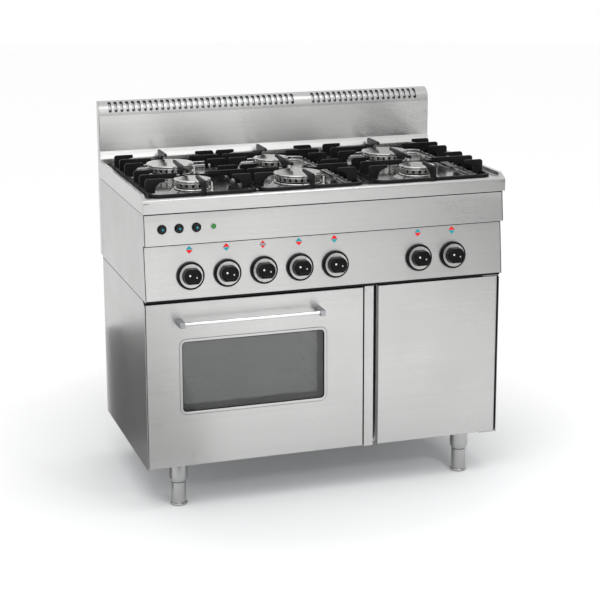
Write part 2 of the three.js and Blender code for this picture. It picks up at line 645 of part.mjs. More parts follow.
function ovenBurner() {
  const { z, tube, feed, left, right, feedEnd, legYs, feedY } = OVEN_BURNER;
  piece('oven_burner', darkSteel, join([
    ...legYs.map((y) => rod('x', tube, left, right + 6, y, z, 8)),
    rod('y', tube, legYs[0] - 6, legYs[1] + 6, right, z, 8),
    rod('x', feed, right - 10, feedEnd, feedY, z, 8),
  ]));
}

// The window's outline grown by a margin, as a solid between two depths.
function windowSolid(grow, y0, y1) {
  const shape = roundedRectangle(WINDOW.left - grow, WINDOW.right + grow, WINDOW.bottom - grow,
    WINDOW.top + grow, WINDOW.radius);
  return alongY(shape, y0, y1);
}

function ovenDoor() {
  const { left, right, depth, seamY, hingeY, hingeZ } = OVEN_DOOR;
  const notches = ovenHingeXs.map((x) =>
    box(x - 4, x + 4, 2, depth + OVERCUT, DOOR_BOTTOM - OVERCUT, hingeZ + 14));
  const pan = cut(box(left, right, 0, seamY, DOOR_BOTTOM, DOOR_TOP), [
    box(left + SHEET, right - SHEET, SHEET, seamY + OVERCUT, DOOR_BOTTOM + SHEET, DOOR_TOP - SHEET),
    windowSolid(0, -OVERCUT, SHEET + OVERCUT),
  ]);
  const knuckles = ovenHingeXs.flatMap((x) => [x - 9, x + 9]).map((x) =>
    box(x - 4, x + 4, SHEET - 0.5, seamY - 1, DOOR_BOTTOM + 1, hingeZ + 8));
  const bores = ovenHingeXs.map((x) => rod('x', HINGE_BORE, x - 14, x + 14, hingeY, hingeZ));
  piece('oven_door_panel', stainless, cut(join([pan, ...knuckles]), [...notches, ...bores]));

  const inset = 3;
  const wall = inset + SHEET;
  const layer = (inward, y0, y1) =>
    box(left + inward, right - inward, y0, y1, DOOR_BOTTOM + inward, DOOR_TOP - inward);
  const innerBox = layer(inset, seamY + GAP, depth);
  const innerRoom = layer(wall, seamY, depth - SHEET);
  const innerWindow = windowSolid(-12, depth - SHEET - OVERCUT, depth + OVERCUT);
  piece('oven_door_inner', darkSteel, cut(innerBox, [innerRoom, innerWindow, ...notches]));
  const glassFront = SHEET + GAP;
  piece('oven_door_glass', ovenGlass, windowSolid(GLASS.lap, glassFront, glassFront + GLASS.thickness));
}

function ovenHandle() {
  const { ends, z, blockHalf, blockRise, bar, barSetback, barRise } = HANDLE;
  const blocks = ends.map((x) =>
    box(x - blockHalf, x + blockHalf, HANDLE_FRONT_Y, -GAP, z - blockRise, z + blockRise));
  const grip = rod('x', bar, ...ends, HANDLE_FRONT_Y + barSetback, z + barRise);
  piece('oven_door_handle', stainless, join([...blocks, grip]));
}

// ---- cupboard -----------------------------------------------------------------------------------
function cupboardDoor() {
  const { left, right, depth } = CUPBOARD_DOOR;
  const radius = depth / 2;
  const pinX = right - radius;
  const plan = [[left, 0], ...arc(pinX, radius, radius, -90, 90, 8), [left, depth]];
  const room = box(left + SHEET, pinX - 1, SHEET, depth + OVERCUT, DOOR_BOTTOM + SHEET, DOOR_TOP - SHEET);
  const pinHole = rod('z', HINGE_BORE, DOOR_BOTTOM - OVERCUT, DOOR_TOP + OVERCUT, pinX, radius);
  piece('cupboard_door', stainless, cut(alongZ(plan, DOOR_BOTTOM, DOOR_TOP), [room, pinHole]));

  const { front, reach, end, thickness, pinLength } = HINGE_PLATE;
  const plate = (z) => box(pinX - reach, pinX + end, front, FRAME_Y - GAP, z, z + thickness);
  const pin = (z0, z1) => rod('z', HINGE_PIN, z0, z1, pinX, radius);
  const overDoor = DOOR_TOP + 1;
  const underDoor = DOOR_BOTTOM - 1 - thickness;
  piece('cupboard_hinge_top', darkSteel,
    plate(overDoor).add(pin(DOOR_TOP - pinLength, overDoor + 1)));
  piece('cupboard_hinge_bottom', darkSteel,
    plate(underDoor).add(pin(underDoor + 2, DOOR_BOTTOM + pinLength)));
}

// ---- gas side -----------------------------------------------------------------------------------
// Supply rail behind the control panel with a tap for each knob, and the pipe back to the gas inlet.
function gasManifold() {
  const { x, y, z, pipe, stub } = GAS_INLET;
  const supply = [
    rod('x', RAIL.radius, KNOB_XS[0] - RAIL.overhang, x + pipe, RAIL.y, RAIL.z, 8),
    rod('y', pipe, RAIL.y, y + pipe, x, RAIL.z, 8),
    rod('z', pipe, z - pipe, RAIL.z + pipe, x, y, 8),
    rod('y', pipe, y, OVERALL_BACK - 4, x, z, 8),
    rod('y', stub, BODY_BACK + 3, OVERALL_BACK - 1, x, z),
  ];
  const taps = KNOB_XS.map((knobX) => {
    const body = block(TAP.width, TAP.height, -TAP.depth - 3, TAP.length - TAP.depth - 3);
    const stem = disc(TAP.stem, -TAP.depth, KNOB.boreDepth - 2, 8);
    return facingFront(body.add(stem), knobX, panelY(KNOB_Z), KNOB_Z);
  });
  piece('gas_manifold', aluminium, join([...supply, ...taps]));
}

// Each knob is a round skirt with a grip that has two flat sides.
function knobs() {
  const { start, skirt, skirtDepth, grip, gripHalf, depth, bore, boreDepth } = KNOB;
  KNOB_XS.forEach((x, index) => {
    const base = turned([
      [0, start], [skirt, start], [skirt, skirtDepth - 2], [skirt - 2, skirtDepth], [0, skirtDepth],
    ]);
    const handle = turned([
      [0, skirtDepth - 1], [grip + 1, skirtDepth - 1], [grip, depth - 5], [grip - 5, depth], [0, depth],
    ], 12);
    const flats = [-1, 1].map((side) =>
      block(80, 20, skirtDepth + 0.5, depth + OVERCUT).translate([0, side * (gripHalf + 10), 0]));
    const shape = cut(base.add(cut(handle, flats)), [disc(bore, -OVERCUT, boreDepth, 8)]);
    const number = index < OVEN_KNOB ? index + 1 : index;
    const name = index === OVEN_KNOB ? 'oven_knob' : `burner_knob_${number}`;
    frontPiece(name, blackPlastic, shape, x, panelY(KNOB_Z), KNOB_Z);
  });
}

function ignitersAndLamp() {
  const y = fasciaY(BUTTON_Z);
  const { radius, stem, travelGap, height } = BUTTON;
  BUTTON_XS.forEach((x, index) => {
    const cap = turned([
      [0, travelGap], [radius, travelGap], [radius, height - 2], [radius - 2, height], [0, height],
    ]);
    const shank = disc(stem, -12, travelGap + 1, 12);
    frontPiece(`igniter_button_${index + 1}`, blackPlastic, cap.add(shank), x, y, BUTTON_Z);
  });
  const lens = turned([[0, -14], [6, -14], [6, 0.4], [8, 0.4], [8, 3], [5, 5.5], [0, 6.5]]);
  frontPiece('signal_lamp', greenLens, lens, LAMP_X, y, BUTTON_Z);
}

worktop();
burners();
grates();
upperFascia();
controlPanel();
sidePanels();
backPanel();
basePanel();
dividerWall();
frontFrame();
legsAndFeet();
backguard();
flueGrille();
flueHousing();
ovenLiner();
ovenSeal();
ovenRack();
ovenBurner();
ovenDoor();
ovenHandle();
cupboardDoor();
gasManifold();
knobs();
ignitersAndLamp();

export default range;
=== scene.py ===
"""Looks of a six-burner gas range with an oven and a side cupboard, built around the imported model.

Shapes are drawn in millimetres: X to the right, Y to the back from the oven door's front, and Z up from
the floor. make() turns them into the frame's metres.
"""
import json
import math

import bmesh
import bpy
from mathutils import Matrix, Vector
from mathutils.geometry import tessellate_polygon


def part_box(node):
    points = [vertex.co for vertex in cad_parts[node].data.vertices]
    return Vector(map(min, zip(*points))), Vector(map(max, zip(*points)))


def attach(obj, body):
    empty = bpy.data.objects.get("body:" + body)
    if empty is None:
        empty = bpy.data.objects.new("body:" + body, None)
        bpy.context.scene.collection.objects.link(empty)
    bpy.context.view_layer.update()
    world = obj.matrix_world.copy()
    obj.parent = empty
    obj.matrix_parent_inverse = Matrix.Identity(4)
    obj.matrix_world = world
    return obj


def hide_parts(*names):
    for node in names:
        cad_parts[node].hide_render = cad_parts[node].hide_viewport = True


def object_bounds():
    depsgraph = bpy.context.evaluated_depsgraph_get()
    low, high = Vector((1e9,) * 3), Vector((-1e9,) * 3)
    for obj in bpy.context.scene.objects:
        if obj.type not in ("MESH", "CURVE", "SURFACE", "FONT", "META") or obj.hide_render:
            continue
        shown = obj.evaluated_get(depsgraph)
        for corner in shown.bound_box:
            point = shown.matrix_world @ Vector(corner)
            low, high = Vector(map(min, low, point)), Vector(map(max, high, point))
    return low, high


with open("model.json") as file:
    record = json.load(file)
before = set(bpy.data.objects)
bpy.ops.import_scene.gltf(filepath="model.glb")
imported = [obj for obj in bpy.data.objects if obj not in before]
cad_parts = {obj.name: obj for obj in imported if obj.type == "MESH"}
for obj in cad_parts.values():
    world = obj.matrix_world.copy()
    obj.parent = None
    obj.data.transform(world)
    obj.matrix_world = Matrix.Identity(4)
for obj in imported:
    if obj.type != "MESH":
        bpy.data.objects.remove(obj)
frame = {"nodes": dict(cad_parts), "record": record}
cad_low, cad_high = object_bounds()

MM = 0.001
SHEET = 1.5
CENTRE = (cad_low + cad_high) / 2
DOOR_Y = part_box("oven_door_panel")[0].y


def corners(node):
    """A CAD node's lowest and highest corners in the drawing's millimetres."""
    return tuple((corner - Vector((0, DOOR_Y, 0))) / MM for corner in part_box(node))


def middle(node):
    low, high = corners(node)
    return (low + high) / 2


# ---- mesh helpers -------------------------------------------------------------------------------
def arc(a, b, radius, start, end, steps):
    """Points on an arc in a plane, from one angle to another in degrees."""
    angles = (math.radians(start + (end - start) * i / steps) for i in range(steps + 1))
    return [(a + radius * math.cos(t), b + radius * math.sin(t)) for t in angles]


def circle(a, b, radius, steps=48):
    return arc(a, b, radius, 0, 360, steps)[:-1]


def rectangle(a0, a1, b0, b1, radius=0.0, steps=8):
    """A rectangle with round corners, counter-clockwise."""
    if radius == 0:
        return [(a0, b0), (a1, b0), (a1, b1), (a0, b1)]
    corners = [(a1 - radius, b0 + radius, -90), (a1 - radius, b1 - radius, 0),
               (a0 + radius, b1 - radius, 90), (a0 + radius, b0 + radius, 180)]
    return [p for a, b, start in corners for p in arc(a, b, radius, start, start + 90, steps)]


def softened(points, steps=4):
    """A closed outline from (a, b) corners and (a, b, radius) corners, which become arcs."""
    result = []
    for i, point in enumerate(points):
        corner = Vector(point[:2])
        radius = point[2] if len(point) > 2 else 0
        if radius == 0:
            result.append(tuple(corner))
            continue
        before = (Vector(points[i - 1][:2]) - corner).normalized()
        after = (Vector(points[(i + 1) % len(points)][:2]) - corner).normalized()
        half = math.acos(max(-1, min(1, before.dot(after)))) / 2
        centre = corner + (before + after).normalized() * (radius / math.sin(half))
        reach = radius / math.tan(half)
        start = corner + before * reach - centre
        sweep = start.angle_signed(corner + after * reach - centre)
        for k in range(steps + 1):
            result.append(tuple(centre + Matrix.Rotation(-sweep * k / steps, 2) @ start))
    return result


def area(loop):
    return sum(p[0] * q[1] - q[0] * p[1] for p, q in zip(loop, loop[1:] + loop[:1])) / 2


def grown(loop, distance):
    """The loop moved outwards by a distance (inwards if negative), keeping its corners."""
    sign = 1 if area(loop) > 0 else -1
    result = []
    for i, point in enumerate(loop):
        here = Vector(point)
        back = here - Vector(loop[i - 1])
        ahead = Vector(loop[(i + 1) % len(loop)]) - here
        back_normal = Vector((back.y, -back.x)).normalized() * sign
        ahead_normal = Vector((ahead.y, -ahead.x)).normalized() * sign
        middle = (back_normal + ahead_normal).normalized()
        result.append(tuple(here + middle * (distance / max(0.3, middle.dot(ahead_normal)))))
    return result


def skin(outer, holes=()):
    """A closed shell: rings of points joined one after the other, with flat ends that holes may pierce."""
    shell = bmesh.new()
    ends = ([], [])
    for rings in (outer, *holes):
        verts = [[shell.verts.new(point) for point in ring] for ring in rings]
        for ring, following in zip(verts, verts[1:]):
            for i, vert in enumerate(ring):
                j = (i + 1) % len(ring)
                shell.faces.new((vert, ring[j], following[j], following[i]))
        ends[0].append(verts[0])
        ends[1].append(verts[-1])
    for loops in ends:
        flat = [vert for loop in loops for vert in loop]
        for triangle in tessellate_polygon([[vert.co for vert in loop] for loop in loops]):
            shell.faces.new([flat[k] for k in triangle])
    return shell


def along_x(a, b, t):
    return Vector((t, a, b))


def along_y(a, b, t):
    return Vector((a, t, b))


def along_z(a, b, t):
    return Vector((a, b, t))


def plate(outline, t0, t1, place, holes=(), edge=(0.5, 0.5), steps=3):
    """A flat piece between two levels, placed by a function of (a, b, level).

    edge gives the rounding at the first and at the second level.
    """
    def rounding(radius):
        turns = [math.pi / 2 * k / steps for k in range(steps + 1)] if radius else [math.pi / 2]
        return [(radius * (1 - math.sin(u)), radius * (1 - math.cos(u))) for u in turns]
    levels = [(inset, t0 + rise) for inset, rise in rounding(edge[0])]
    levels += [(inset, t1 - rise) for inset, rise in reversed(rounding(edge[1]))]

    def rings(loop, sign):
        return [[place(a, b, level) for a, b in grown(loop, -sign * inset)] for inset, level in levels]
    return skin(rings(outline, 1), [rings(hole, -1) for hole in holes])


def block(x0, x1, y0, y1, z0, z1, soft=0.4):
    """A box with softened edges."""
    return plate(rectangle(x0, x1, y0, y1, soft, 3), z0, z1, along_z, edge=(soft, soft))


def turned(profile, segments=56):
    """A body of revolution about Z from (radius, z) points that start and end on the axis."""
    shell = bmesh.new()
    rings = []
    for radius, z in profile:
        count = segments if radius > 1e-7 else 1
        rings.append([shell.verts.new((radius * math.cos(math.tau * i / segments),
                                       radius * math.sin(math.tau * i / segments), z))
                      for i in range(count)])
    for ring, following in zip(rings, rings[1:]):
        for i in range(segments):
            j = (i + 1) % segments
            corners = [ring[i % len(ring)], ring[j % len(ring)],
                       following[j % len(following)], following[i % len(following)]]
            different = list(dict.fromkeys(corners))
            if len(different) > 2:
                shell.faces.new(different)
    return shell


def turned_ring(profile, segments=56):
    """A body of revolution about Z from a closed (radius, z) outline that stays off the axis."""
    shell = bmesh.new()
    angles = [math.tau * i / segments for i in range(segments)]
    rings = [[shell.verts.new((r * math.cos(t), r * math.sin(t), z)) for r, z in profile] for t in angles]
    for i, ring in enumerate(rings):
        following = rings[(i + 1) % segments]
        for k in range(len(profile)):
            m = (k + 1) % len(profile)
            shell.faces.new((ring[k], following[k], following[m], ring[m]))
    return shell


def swept(path, section, place):
    """A closed bar that follows a closed flat path. section holds (outwards, level) points."""
    loops = [grown(path, offset) for offset, _ in section]
    shell = bmesh.new()
    verts = [[shell.verts.new(place(*loop[i], level)) for loop, (_, level) in zip(loops, section)]
             for i in range(len(path))]
    for i, ring in enumerate(verts):
        following = verts[(i + 1) % len(verts)]
        for k in range(len(section)):
            m = (k + 1) % len(section)
            shell.faces.new((ring[k], following[k], following[m], ring[m]))
    return shell


def wire(points, radius, segments=10):
    """A round wire along a line of points, with flat ends."""
    points = [Vector(point) for point in points]
    rings = []
    side = None
    for i, point in enumerate(points):
        direction = (points[min(i + 1, len(points) - 1)] - points[max(i - 1, 0)]).normalized()
        if side is None:
            side = direction.orthogonal().normalized()
        side = (side - direction * side.dot(direction)).normalized()
        other = direction.cross(side)
        rings.append([point + (side * math.cos(t) + other * math.sin(t)) * radius
                      for t in (math.tau * k / segments for k in range(segments))])
    return skin(rings)


def moved(shell, *, at=(0, 0, 0), turn=None):
    """The shell turned and then moved."""
    matrix = Matrix.Translation(Vector(at)) @ (turn.to_4x4() if turn else Matrix.Identity(4))
    bmesh.ops.transform(shell, matrix=matrix, verts=shell.verts)
    return shell


def joined(shells):
    whole = bmesh.new()
    for shell in shells:
        part = bpy.data.meshes.new("part")
        shell.to_mesh(part)
        shell.free()
        whole.from_mesh(part)
        bpy.data.meshes.remove(part)
    bmesh.ops.recalc_face_normals(whole, faces=whole.faces)
    return whole


def make(name, body, slot, shells, stands_for=(), smooth=32):
    """One visual piece made of closed shells. It rides on a body and may stand for CAD nodes."""
    whole = joined(shells)
    into_frame = Matrix.Translation((0, DOOR_Y, 0)) @ Matrix.Scale(MM, 4)
    bmesh.ops.transform(whole, matrix=into_frame, verts=whole.verts)
    mesh = bpy.data.meshes.new(name)
    whole.to_mesh(mesh)
    whole.free()
    mesh.polygons.foreach_set("use_smooth", [True] * len(mesh.polygons))
    mesh.set_sharp_from_angle(angle=math.radians(smooth))
    mesh.materials.append(FINISH[slot])
    piece = bpy.data.objects.new(name, mesh)
    bpy.context.scene.collection.objects.link(piece)
    level = piece.modifiers.new("flat faces stay flat", "WEIGHTED_NORMAL")
    level.weight = 90
    level.keep_sharp = True
    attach(piece, body)
    if stands_for:
        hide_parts(*stands_for)
    return piece


def soft_copy(node, width=0.4):
    """A shell like a CAD node's, with its sharp edges rounded off."""
    shell = bmesh.new()
    shell.from_mesh(frame["nodes"][node].data)
    bmesh.ops.transform(shell, matrix=Matrix.Scale(1 / MM, 4) @ Matrix.Translation((0, -DOOR_Y, 0)),
                        verts=shell.verts)
    bmesh.ops.remove_doubles(shell, verts=shell.verts, dist=1e-3)
    bmesh.ops.dissolve_limit(shell, angle_limit=math.radians(0.5), verts=shell.verts, edges=shell.edges)
    sharp = [edge for edge in shell.edges
             if len(edge.link_faces) == 2 and edge.calc_face_angle() > math.radians(25)]
    bmesh.ops.bevel(shell, geom=sharp, offset=width, segments=2, profile=0.5, affect="EDGES",
                    clamp_overlap=True)
    return shell


# ---- materials ----------------------------------------------------------------------------------
class Finish:
    """Builds one material around a Principled shader."""

    def __init__(self, name, **constants):
        self.material = bpy.data.materials.new(name)
        self.material.use_nodes = True
        self.tree = self.material.node_tree
        self.shader = self.tree.nodes["Principled BSDF"]
        for socket, value in constants.items():
            self.shader.inputs[socket.replace("_", " ").title().replace("Ior", "IOR")].default_value = value

    def node(self, kind, **settings):
        node = self.tree.nodes.new("ShaderNode" + kind)
        for name, value in settings.items():
            setattr(node, name, value)
        return node

    def link(self, output, target):
        self.tree.links.new(output, target)

    def noise(self, scale, detail=3.0, stretch=(1, 1, 1), roughness=0.5):
        """A noise field over the object's own coordinates, from 0 to 1."""
        place = self.node("TexCoord")
        mapping = self.node("Mapping")
        mapping.inputs["Scale"].default_value = stretch
        field = self.node("TexNoise")
        field.inputs["Scale"].default_value = scale
        field.inputs["Detail"].default_value = detail
        field.inputs["Roughness"].default_value = roughness
        self.link(place.outputs["Object"], mapping.inputs["Vector"])
        self.link(mapping.outputs["Vector"], field.inputs["Vector"])
        return field.outputs["Fac"]

    def ramp(self, value, low, high, start=0.3, end=0.7):
        """Maps a field to a number between low and high."""
        node = self.node("MapRange")
        node.inputs["From Min"].default_value = start
        node.inputs["From Max"].default_value = end
        node.inputs["To Min"].default_value = low
        node.inputs["To Max"].default_value = high
        self.link(value, node.inputs["Value"])
        return node.outputs["Result"]

    def mix(self, factor, first, second):
        """Mixes two colours, each one a socket or a constant, by a field."""
        node = self.node("Mix", data_type="RGBA")
        self.link(factor, node.inputs["Factor"])
        for value, socket in ((first, node.inputs["A"]), (second, node.inputs["B"])):
            if isinstance(value, tuple):
                socket.default_value = (*value, 1)
            else:
                self.link(value, socket)
        return node.outputs["Result"]

    def bump(self, *layers):
        """Stacks bump layers of (field, depth in metres)."""
        normal = None
        for field, depth in layers:
            node = self.node("Bump")
            node.inputs["Distance"].default_value = depth
            self.link(field, node.inputs["Height"])
            if normal:
                self.link(normal, node.inputs["Normal"])
            normal = node.outputs["Normal"]
        self.link(normal, self.shader.inputs["Normal"])

    def set(self, socket, output):
        self.link(output, self.shader.inputs[socket])


def shade(color, factor):
    return tuple(min(1, c * factor) for c in color)


def brushed(name, color, roughness, grain, anisotropic=0.7, contrast=0.02):
    """Brushed sheet: fine lines along one axis, faint rolling marks and handling smudges."""
    finish = Finish(name, metallic=1, anisotropic=anisotropic, anisotropic_rotation=0.25)
    stretch = {"x": (0.012, 1, 1), "y": (1, 0.012, 1), "z": (1, 1, 0.012)}[grain]
    lines = finish.noise(1400, 2, stretch)
    streaks = finish.noise(160, 3, stretch)
    smudges = finish.noise(5, 4, roughness=0.6)
    finish.set("Base Color", finish.mix(
        finish.ramp(streaks, 0, 1), shade(color, 1 - contrast), shade(color, 1 + contrast)))
    wear = finish.node("Math", operation="ADD")
    finish.link(finish.ramp(smudges, roughness - 0.03, roughness + 0.05), wear.inputs[0])
    finish.link(finish.ramp(lines, -0.03, 0.03), wear.inputs[1])
    finish.set("Roughness", wear.outputs[0])
    finish.bump((lines, 0.01 * MM), (streaks, 0.006 * MM))
    tangent = finish.node("Tangent", direction_type="RADIAL", axis="Z")
    finish.set("Tangent", tangent.outputs[0])
    return finish.material


def cast(name, color, roughness, grain_depth, worn=0.0):
    """Sand-cast or cast metal: a pebbled skin with rubbed high spots."""
    finish = Finish(name, metallic=0, specular_ior_level=0.12)
    pebbles = finish.noise(420, 4, roughness=0.6)
    patches = finish.noise(24, 3)
    rubbed = tuple(c + worn for c in color)
    finish.set("Base Color", finish.mix(finish.ramp(patches, 0, 1), color, rubbed))
    finish.set("Roughness", finish.ramp(patches, roughness - 0.07, roughness + 0.08))
    finish.bump((pebbles, grain_depth))
    return finish.material


def metal(name, color, roughness, contrast=0.06, bump=0.01 * MM):
    """Plain polished or machined metal with faint stains."""
    finish = Finish(name, metallic=1)
    stains = finish.noise(36, 4, roughness=0.6)
    fine = finish.noise(900, 2)
    finish.set("Base Color", finish.mix(
        finish.ramp(stains, 0, 1), shade(color, 1 - contrast), shade(color, 1 + contrast)))
    finish.set("Roughness", finish.ramp(stains, max(0.03, roughness - 0.04), roughness + 0.05))
    finish.bump((fine, bump))
    return finish.material


def moulded(name, color, roughness, lift=0.01, grain=0.012 * MM, specular=0.5):
    """Moulded plastic or rubber with a fine texture."""
    finish = Finish(name, metallic=0, specular_ior_level=specular)
    texture = finish.noise(1600, 2)
    marks = finish.noise(60, 3)
    finish.set("Base Color", finish.mix(finish.ramp(marks, 0, 1), color, tuple(c + lift for c in color)))
    finish.set("Roughness", finish.ramp(marks, roughness - 0.05, roughness + 0.06))
    finish.bump((texture, grain))
    return finish.material


def speckled(name, color, fleck, roughness):
    """Glossy enamel with small pale flecks."""
    finish = Finish(name, metallic=0, coat_weight=0.4)
    flecks = finish.noise(900, 1)
    patches = finish.noise(12, 3)
    finish.set("Base Color", finish.mix(finish.ramp(flecks, 0, 1, 0.64, 0.7), color, fleck))
    finish.set("Roughness", finish.ramp(patches, roughness - 0.05, roughness + 0.08))
    finish.bump((patches, 0.1 * MM))
    return finish.material


def glazed(name, color, roughness):
    """Tinted window glass."""
    finish = Finish(name, metallic=0, roughness=roughness, transmission_weight=1.0, ior=1.45)
    film = finish.noise(14, 3)
    finish.set("Base Color", finish.mix(finish.ramp(film, 0, 1), shade(color, 0.94), color))
    return finish.material


def coated_glass(name, color, roughness):
    """Heat-reflecting glass: dim to look through, with a strong grey reflection."""
    finish = Finish(name, metallic=0, transmission_weight=0.8, ior=2.1)
    film = finish.noise(14, 3)
    finish.set("Base Color", finish.mix(finish.ramp(film, 0, 1), shade(color, 0.9), color))
    finish.set("Roughness", finish.ramp(film, roughness - 0.03, roughness + 0.03))
    return finish.material


STEEL = (0.5, 0.5, 0.495)
FINISH = {
    "stainless": brushed("stainless", STEEL, 0.3, "x"),
    # Side panels: the same steel brushed along Y, and a tenth darker as painted shade.
    "side_steel_painted_shade": brushed("side_steel_painted_shade", shade(STEEL, 0.9), 0.34, "y"),
    # Backguard: the same steel made brighter as painted light.
    "backguard_steel_painted_light": brushed("backguard_steel_painted_light", shade(STEEL, 1.3), 0.28, "x"),
    # Deck and wells: the same steel, glossier, and darker as painted shade.
    "well_steel_painted_shade": brushed("well_steel_painted_shade", shade(STEEL, 0.6), 0.17, "x", 0.3, 0.05),
    "galvanised": brushed("galvanised", (0.42, 0.43, 0.44), 0.45, "z", 0.2, 0.1),
    "dark_steel": brushed("dark_steel", (0.2, 0.2, 0.21), 0.42, "x", 0.3),
    "handle_steel": metal("handle_steel", (0.8, 0.8, 0.8), 0.14),
    "leg_steel": brushed("leg_steel", (0.42, 0.42, 0.42), 0.2, "z", 0.3),
    "enamel": speckled("enamel", (0.035, 0.037, 0.04), (0.3, 0.3, 0.3), 0.3),
    "door_seal": moulded("door_seal", (0.03, 0.03, 0.03), 0.8),
    "rack_chrome": metal("rack_chrome", (0.75, 0.75, 0.75), 0.16),
    "manifold_metal": metal("manifold_metal", (0.5, 0.5, 0.48), 0.4, 0.1),
    "burner_alloy": metal("burner_alloy", (0.6, 0.6, 0.59), 0.24, 0.08),
    "cap_steel": metal("cap_steel", (0.58, 0.58, 0.57), 0.16, 0.05),
    "cast_iron": cast("cast_iron", (0.005, 0.005, 0.0055), 0.38, 0.1 * MM, 0.005),
    "knob_plastic": moulded("knob_plastic", (0.002, 0.002, 0.0022), 0.3, 0.002, specular=0.12),
    "knob_dial": metal("knob_dial", (0.5, 0.5, 0.49), 0.35),
    "button_plastic": moulded("button_plastic", (0.002, 0.002, 0.0022), 0.12, 0.002, specular=0.25),
    "lamp_green": moulded("lamp_green", (0.008, 0.15, 0.015), 0.12, 0.01),
    "oven_glass": glazed("oven_glass", (0.62, 0.63, 0.63), 0.04),
    "black_edge": moulded("black_edge", (0.004, 0.004, 0.004), 0.5, 0.003, specular=0.15),
    "print_teal": moulded("print_teal", (0.012, 0.3, 0.36), 0.45, 0.02, specular=0.2),
    "print_red": moulded("print_red", (0.72, 0.006, 0.006), 0.45, 0.01, specular=0.2),
    "fastener_steel": metal("fastener_steel", (0.6, 0.6, 0.6), 0.25),
    "print_grey": moulded("print_grey", (0.2, 0.26, 0.28), 0.45, 0.02, specular=0.2),
    "inner_glass": coated_glass("inner_glass", (0.42, 0.42, 0.42), 0.04),
    "handle_end": metal("handle_end", (0.36, 0.37, 0.39), 0.42),
    "ceramic_white": moulded("ceramic_white", (0.62, 0.61, 0.58), 0.3),
    "brass_tip": metal("brass_tip", (0.5, 0.46, 0.38), 0.3),
}
SIDE_NODES = ("upper_side_left", "upper_side_right", "lower_side_left", "lower_side_right")


def finish_of(node, slot):
    # The side panels take the darker steel: painted shade.
    return FINISH["side_steel_painted_shade"] if node in SIDE_NODES else FINISH[slot]


for part in frame["record"]["subparts"]:
    for holder in frame["nodes"][part["node"]].material_slots:
        holder.material = finish_of(part["node"], part["material_slot"])


# ---- the top ------------------------------------------------------------------------------------
WORKTOP_LOW, WORKTOP_HIGH = corners("worktop")
EDGE_X = WORKTOP_HIGH.x
LIP_Y = WORKTOP_LOW.y
LIP_BOTTOM = WORKTOP_LOW.z
DECK = LIP_BOTTOM + 38
RIM = DECK + 10
NOSE = 10
RIM_WIDTH = 7
RIM_FOOT = 15
WELL_DEPTH = 12
WELL_YS = (25, 492)
WELL_CORNER = 35
ZONES = ("left", "middle", "right")
ROWS = ("front", "rear")


def deck_height(y):
    """The height of the worktop's surface: level, and rounded down over the front lip."""
    back = max(0, LIP_Y + NOSE - y)
    return DECK - NOSE + math.sqrt(max(0, NOSE ** 2 - back ** 2))


def rim_height(y):
    """The side rim's height: it rises out of the rounded lip."""
    t = min(1, max(0, (y - LIP_Y - NOSE / 2) / 27))
    return deck_height(y) + (RIM - DECK) * t * t * (3 - 2 * t)


def side_rim(side):
    """One raised side rim with its skirt, as sections along Y."""
    corner = 1.5
    steps = [LIP_Y + corner * (1 - math.cos(math.pi / 2 * k / 4)) for k in range(4)]
    steps += [LIP_Y + corner + k for k in range(36)] + [WORKTOP_HIGH.y]
    rings = []
    for y in steps:
        inset = max(0, corner - (y - LIP_Y))
        edge = EDGE_X - corner + math.sqrt(corner ** 2 - inset ** 2)
        top, deck = rim_height(y), deck_height(y)
        foot = EDGE_X - RIM_FOOT
        rounded = arc(edge - 1.2, top - 1.2, 1.2, 0, 90, 3)
        inner = EDGE_X - RIM_WIDTH
        section = [(edge, LIP_BOTTOM), *rounded, (inner - 1, top), (inner - 2.5, top - 0.3),
                   (foot + 2, deck + 0.5), (foot, deck), (foot, deck - SHEET), (EDGE_X - 4, deck - SHEET),
                   (EDGE_X - SHEET - 0.5, deck - 4), (EDGE_X - SHEET - 0.5, LIP_BOTTOM)]
        rings.append([Vector((side * x, y, z)) for x, z in section])
    return skin(rings)


def front_lip():
    """The rolled front edge between the side rims, with its hem underneath."""
    centre = (LIP_Y + NOSE, DECK - NOSE)
    outer = [(LIP_Y + 9, LIP_BOTTOM), (LIP_Y, LIP_BOTTOM, 1), *arc(*centre, NOSE, 180, 90, 10),
             (LIP_Y + 20, DECK)]
    inner = [(LIP_Y + 20, DECK - SHEET), *arc(*centre, NOSE - SHEET, 90, 180, 10),
             (LIP_Y + SHEET, LIP_BOTTOM + SHEET), (LIP_Y + 9, LIP_BOTTOM + SHEET)]
    reach = EDGE_X - 2
    return plate(softened(outer + inner), -reach, reach, along_x, edge=(0.5, 0))


def spill_well(outline):
    """A sunken tray: it turns down from the deck, and its floor is level."""
    floor = DECK - WELL_DEPTH
    quarter = [math.pi / 2 * k / 5 for k in range(6)]
    inside = [(-5 + 5 * math.sin(u), floor + 5 - 5 * math.cos(u)) for u in quarter]
    inside += [(3 - 3 * math.cos(u), DECK - 3 + 3 * math.sin(u)) for u in quarter]
    under = [(offset + 0.3, z - SHEET) for offset, z in reversed(inside)]
    return skin([[along_z(a, b, z) for a, b in grown(outline, offset)] for offset, z in inside + under])


def burner_collar(node, cap_radius):
    """The pressed ring in the well's floor that a burner stands on."""
    centre = middle(node)
    floor = DECK - WELL_DEPTH
    foot, top = cap_radius + 15, floor + 6
    slope = [(foot - 13 * t, floor + 6 * t * t * (3 - 2 * t)) for t in (k / 8 for k in range(9))]
    hole = cap_radius - 14
    profile = [(foot, floor - 0.5), *slope, (hole, top), (hole, top - SHEET), (foot - 12, top - SHEET - 1)]
    return moved(turned_ring(profile), at=(centre.x, centre.y, 0))


